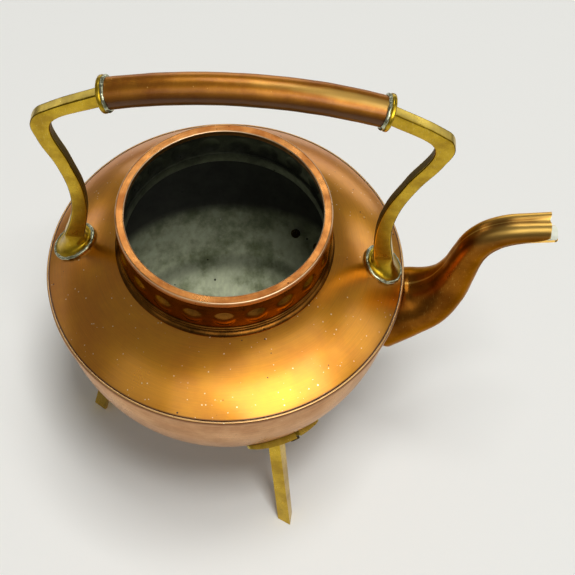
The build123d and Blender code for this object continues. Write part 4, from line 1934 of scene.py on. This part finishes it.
    def section(
        self, centre: Vector, across: Vector, depth: float, width: float, roundness: float
    ) -> list[Vector]:
        """Ring between a filed bar's rounded rectangle and a circle.

        Args:
            centre: middle of the section.
            across: unit direction of its depth, in the upright plane.
            depth: size along across.
            width: size along Y.
            roundness: 0 for the bar, 1 for an ellipse.

        Returns:
            The ring's points.
        """
        ring = []
        corner = lerp(self.bar_corner, min(depth, width) / 2, roundness)
        for quarter, (sx, sy) in enumerate(((1, 1), (-1, 1), (-1, -1), (1, -1))):
            for i in range(self.corner_spans + 1):
                turn = math.pi / 2 * (quarter + i / self.corner_spans)
                bx = sx * (depth / 2 - corner) + corner * math.cos(turn)
                by = sy * (width / 2 - corner) + corner * math.sin(turn)
                ex, ey = depth / 2 * math.cos(turn), width / 2 * math.sin(turn)
                ring.append(
                    centre + across * lerp(bx, ex, roundness) + Vector((0, 1, 0)) * lerp(by, ey, roundness)
                )
        return ring

    def bar_highlight(self, row: int, place: int) -> float:
        """Painted highlight on a bar: along the middle of its outer face."""
        last = 4 * (self.corner_spans + 1) - 1
        return self.top_highlight if place in (0, last) and row <= self.bar_spans else 0.0

    def bar_shade(self, row: int, place: int) -> float:
        """Painted shade on a bar: on its filed edges and the middle of its inner face.

        Args:
            row: ring of the bracket's mesh.
            place: point in the ring.

        Returns:
            How dark the painted shade is.
        """
        points = self.corner_spans + 1
        middle = self.corner_spans // 2
        on_edge = abs(place % points - middle) <= 1
        on_inner = place in (2 * points - 1, 2 * points)
        return self.edge_shade if (on_edge or on_inner) and row <= self.bar_spans else 0.0

    def bracket(self, side: Side) -> bpy.types.Object:
        """Make one bracket: the arm at the ferrule, the elbow, the bar and its flared foot.

        Args:
            side: end of the handle.

        Returns:
            The bracket.
        """
        end, along = self.grip_along(side)
        face = end + along * self.ferrule_thickness
        seat, normal = self.foot_seat(side)
        outward = Vector((normal.z, 0, -normal.x)) * side.value
        if outward.x * side.value < 0:
            outward = -outward
        outer = [self.leaned(side, *p) for p in self.outer]
        inner = [self.leaned(side, *p) for p in self.inner]
        upright = Vector((side.value, 0, 0))
        top = Vector((lerp((outer[-1].x + inner[-1].x) / 2, seat.x, 0.7), 0, seat.z + self.foot_height))
        outer.append(top + upright * self.foot_neck)
        inner.append(top - upright * self.foot_neck)
        up = Vector((-along.z, 0, along.x)) * side.value
        if up.z < 0:
            up = -up
        # the arm starts flat on the ferrule's face, a little below its middle
        half = self.ferrule_radius * 0.62
        outer.insert(0, face + up * half * 0.55)
        inner.insert(0, face - up * half * 0.95)
        outer_track = Track([(p.x, p.z) for p in outer], 2)
        inner_track = Track([(p.x, p.z) for p in inner], 2)
        rows = []
        for i in range(self.bar_spans + 1):
            share = i / self.bar_spans
            ox, oz = outer_track.point(outer_track.length * self.ease_outer(share))
            ix, iz = inner_track.point(inner_track.length * share)
            a, b = Vector((ox, 0, oz)), Vector((ix, 0, iz))
            depth = (a - b).length
            rows.append(self.section((a + b) / 2, (a - b) / depth, depth, self.bar_width, 0.0))
        # the flare turns from upright to square on the shoulder as it spreads
        base = seat + normal * self.foot_edge
        bend = top - Vector((0, 0, self.foot_height * 0.5))
        for i in range(1, self.flare_spans + 1):
            share = i / self.flare_spans
            spread = 1 - math.sqrt(1 - share * share)
            depth = lerp(self.foot_neck, self.foot_spans[side][1], 0.15 * share + 0.85 * spread) * 2
            width = lerp(self.bar_width / 2, self.foot_radius, 0.3 * share + 0.7 * spread) * 2
            centre = top.lerp(bend, share).lerp(bend.lerp(base, share), share)
            across = upright.lerp(outward, share).normalized()
            rows.append(self.section(centre, across, depth, width, min(1.0, share * 1.6)))
        rows.append([self.on_shoulder(point) for point in rows[-1]])
        # painted highlight on the bars' outer faces, painted shade on their edges and inner faces
        made = skin(
            f"bracket_{side.piece}_skin",
            rows,
            [BRASS.material()],
            highlight_marks=self.bar_highlight,
            shade_marks=self.bar_shade,
            crease=28,
        )
        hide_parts(f"bracket_{side.piece}")
        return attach(made, "root")

    @staticmethod
    def ease_outer(share: float) -> float:
        """Keep the outer line's points abreast of the inner line's round the elbow."""
        knee, haste = 0.12, 1.9
        return share * haste if share < knee else lerp(knee * haste, 1.0, (share - knee) / (1 - knee))

    def on_shoulder(self, point: Vector) -> Vector:
        """Point of the shoulder straight below another, with the seat's clearance."""
        radius = math.hypot(point.x, point.y)
        return Vector((point.x, point.y, self.body.shoulder_z(radius) + self.body.seat))

    def ferrule(self, side: Side) -> bpy.types.Object:
        """Turn one ferrule.

        Args:
            side: end of the handle.

        Returns:
            The ferrule.
        """
        end, along = self.grip_along(side)
        turn = Vector((0, 0, 1)).rotation_difference(along).to_matrix()
        thick, radius, soft = self.ferrule_thickness, self.ferrule_radius, self.ferrule_round
        k = soft * (1 - math.sqrt(0.5))
        profile = [(0.0, 0.0)] + arc((radius - soft, 0.0), (radius - k, k), (radius, soft), 8)
        profile += arc((radius, thick - soft), (radius - k, thick - k), (radius - soft, thick), 8)
        profile += [(0.0, thick)]
        rows = []
        for r, z in profile:
            turns = [math.tau * i / self.ferrule_steps for i in range(self.ferrule_steps)]
            if r < POLE_RADIUS:
                turns = turns[:1]
            rows.append([end + turn @ Vector((r * math.cos(a), r * math.sin(a), z)) for a in turns])
        made = skin(f"ferrule_{side.piece}_skin", rows, [BRASS.material()])
        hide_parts(f"ferrule_{side.piece}")
        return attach(made, "root")

    def solder(
        self, name: str, place: Vector, along: Vector, spans: tuple, thickness: float
    ) -> bpy.types.Object:
        """Run a bead of solder round a joint.

        Args:
            name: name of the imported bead.
            place: its middle.
            along: the axis that it runs round.
            spans: radius of the bead's line in the handle's plane and across it.
            thickness: radius of the bead itself.

        Returns:
            The bead.
        """
        made = grown(
            f"{name}_skin",
            self.bead_tree(),
            {
                "Radius": spans[1] * MM,
                "Thickness": thickness * MM,
                "Lumps": thickness * 1.1 * MM,
                "Seed": place.x,
                "Place": tuple(place * MM),
                "Turn": tuple(Vector((0, 0, 1)).rotation_difference(along).to_euler()),
                "Stretch": (spans[0] / spans[1], 1.0, 1.0),
                "Finish": SOLDER.material(),
            },
        )
        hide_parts(name)
        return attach(made, "root")

    def grip(self) -> bpy.types.Object:
        """Bend the grip tube.

        Returns:
            The grip.
        """
        made = grown(
            "grip_tube_skin",
            self.grip_tree(),
            {
                "Start": tuple(self.leaned(Side.REAR, self.grip_half, self.grip_end_z) * MM),
                "Middle": tuple(self.leaned(Side.FRONT, 0, self.grip_middle_z) * MM),
                "End": tuple(self.leaned(Side.FRONT, self.grip_half, self.grip_end_z) * MM),
                "Radius": self.grip_radius * MM,
                "Finish": GRIP_COPPER.material(),
            },
        )
        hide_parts("grip_tube")
        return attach(made, "root")

    def build(self) -> list[bpy.types.Object]:
        """Make the grip, and the bracket, ferrule and solder at each end.

        Returns:
            The pieces.
        """
        made = [self.grip()]
        for side in Side:
            end, along = self.grip_along(side)
            seat, normal = self.foot_seat(side)
            made += [self.bracket(side), self.ferrule(side)]
            ring = (self.grip_radius + 0.1, self.grip_radius + 0.1)
            foot = (self.foot_spans[side][1] - 0.1, self.foot_radius - 0.1)
            made.append(self.solder(f"grip_solder_{side.piece}", end - along * 0.6, along, ring, 1.0))
            made.append(self.solder(f"foot_solder_{side.piece}", seat + normal * 0.35, normal, foot, 0.95))
        return made


@dataclass
class Fittings:
    """The cast legs with their palms and rivets, and the handle's washers, dressed as packed.

    Attributes:
        kinds: kind of piece and its finish.
        sides: where the three legs stand.
    """

    kinds: tuple = (("leg", BRASS), ("leg_palm", PALM_BRASS), ("leg_rivets", RIVET_BRASS))
    sides: tuple = ("front", "back", "rear")

    def build(self) -> int:
        """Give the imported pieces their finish.

        Returns:
            How many pieces were dressed.
        """
        finishes = {metal.name: metal.material() for metal in (BRASS, PALM_BRASS, RIVET_BRASS)}
        dressed = [(f"{kind}_{side}", metal) for kind, metal in self.kinds for side in self.sides]
        dressed += [(f"rove_{side.piece}", BRASS) for side in Side]
        for name, metal in dressed:
            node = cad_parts[name]
            node.data.materials.clear()
            node.data.materials.append(finishes[metal.name])
        return len(dressed)


# --- the studio -------------------------------------------------------------------------


@dataclass(frozen=True)
class Softbox:
    """A diffused lamp, placed by its direction from the kettle.

    Attributes:
        name: name of the lamp.
        azimuth: its direction round the axis in degrees, from +X.
        elevation: its height above the table in degrees.
        width: its width in millimetres.
        height: its height in millimetres.
        glow: how bright its face is, where 1 is white.
        lights: what it lights.
        distance: how far off it hangs, in millimetres.
    """

    name: str
    azimuth: float
    elevation: float
    width: float
    height: float
    glow: float
    lights: Lights
    distance: float = 1500.0

    def build(self, target: Vector) -> bpy.types.Object:
        """Hang the lamp.

        Args:
            target: the point that it faces, in millimetres.

        Returns:
            The lamp.
        """
        lamp = bpy.data.lights.new(self.name, "AREA")
        lamp.shape = "RECTANGLE"
        lamp.size, lamp.size_y = self.width * MM, self.height * MM
        lamp.energy = self.glow * math.pi * lamp.size * lamp.size_y
        a, e = math.radians(self.azimuth), math.radians(self.elevation)
        towards = Vector((math.cos(e) * math.cos(a), math.cos(e) * math.sin(a), math.sin(e)))
        made = bpy.data.objects.new(self.name, lamp)
        made.location = (target + towards * self.distance) * MM
        made.rotation_euler = towards.to_track_quat("Z", "Y").to_euler()
        made.visible_glossy = self.lights is Lights.METAL
        made.visible_diffuse = self.lights is Lights.TABLE
        bpy.context.scene.collection.objects.link(made)
        return made


@dataclass
class Studio:
    """Paper table, soft lamps, dim room and the camera.

    Attributes:
        eye: where the camera stands, in millimetres.
        look: what it looks at.
        roll: its roll in degrees.
        lens: its focal length in millimetres.
        sensor: width of its sensor in millimetres.
        reach: how far it sees, in metres.
        room: colour of the room round the table.
        lit: the point that the lamps face.
        lamps: what the metal mirrors, and what throws the shadow.
    """

    eye: tuple = (55.34, -463.61, 876.09)
    look: tuple = (30.8, 12.3, 120.0)
    roll: float = 1.40
    lens: float = 106.43
    sensor: float = 36.0
    reach: float = 20.0
    room: str = "#7A7A78"
    lit: tuple = (0.0, 0.0, 130.0)
    lamps: tuple = (
        Softbox("key softbox", -52, 41, 1100, 700, 2.4, Lights.METAL),
        Softbox("key surround", -48, 49, 1700, 1350, 1.0, Lights.METAL, 1600),
        Softbox("front softbox", -100, 41, 700, 800, 1.0, Lights.METAL),
        Softbox("left softbox", -136, 36, 700, 700, 0.35, Lights.METAL),
        Softbox("right softbox", -2, 30, 600, 700, 1.0, Lights.METAL),
        Softbox("low right window", 30, 12, 500, 400, 0.7, Lights.METAL),
        Softbox("back right softbox", 42, 24, 400, 320, 1.7, Lights.METAL),
        Softbox("back left softbox", 142, 18, 380, 320, 1.6, Lights.METAL),
        Softbox("back softbox", 98, 66, 600, 600, 2.8, Lights.METAL),
        Softbox("low back window", 95, 14, 700, 500, 1.0, Lights.METAL),
        Softbox("low left window", 170, 10, 900, 400, 0.3, Lights.METAL),
        Softbox("far window", 87, 2, 1950, 320, 1.15, Lights.METAL),
        Softbox("table key", -65, 71, 800, 800, 31.0, Lights.TABLE, 4000),
        Softbox("table ceiling", -27, 82, 1100, 1100, 15.5, Lights.TABLE, 4000),
    )

    def build(self) -> None:
        """Set the table, lamps, room and camera."""
        Table().build()
        for lamp in self.lamps:
            lamp.build(Vector(self.lit))
        scene = bpy.context.scene
        world = bpy.data.worlds.new("dim room")
        scene.world = world
        world.use_nodes = True
        world.node_tree.nodes["Background"].inputs["Color"].default_value = linear(self.room)
        camera = bpy.data.cameras.new("camera")
        camera.lens, camera.sensor_width, camera.clip_end = self.lens, self.sensor, self.reach
        made = bpy.data.objects.new("camera", camera)
        scene.collection.objects.link(made)
        back = (Vector(self.eye) - Vector(self.look)).normalized()
        right = Vector((0, 0, 1)).cross(back).normalized()
        up = back.cross(right)
        a = math.radians(self.roll)
        right, up = right * math.cos(a) + up * math.sin(a), up * math.cos(a) - right * math.sin(a)
        turned = Matrix((right, up, back)).transposed().to_4x4()
        made.matrix_world = Matrix.Translation(Vector(self.eye) * MM) @ turned
        scene.camera = made
        scene.view_settings.view_transform = "Standard"


def main() -> None:
    """Build every piece in order, light them and write down how large they are."""
    logging.basicConfig(level=logging.INFO, format="%(message)s")
    body = Envelope()
    spout = Spout(body)
    hole = spout.hole()
    pieces = [Bowl(body).build(hole), Shoulder(body).build()]
    pieces += Neck(body).build()
    pieces.append(spout.build())
    pieces += Handle(body).build()
    for made in pieces:
        LOG.info("%s: %d faces", made.name, len(made.data.polygons))
    bpy.data.objects.remove(hole)
    LOG.info("fittings dressed: %d", Fittings().build())
    Studio().build()


if __name__ == "__main__":
    main()
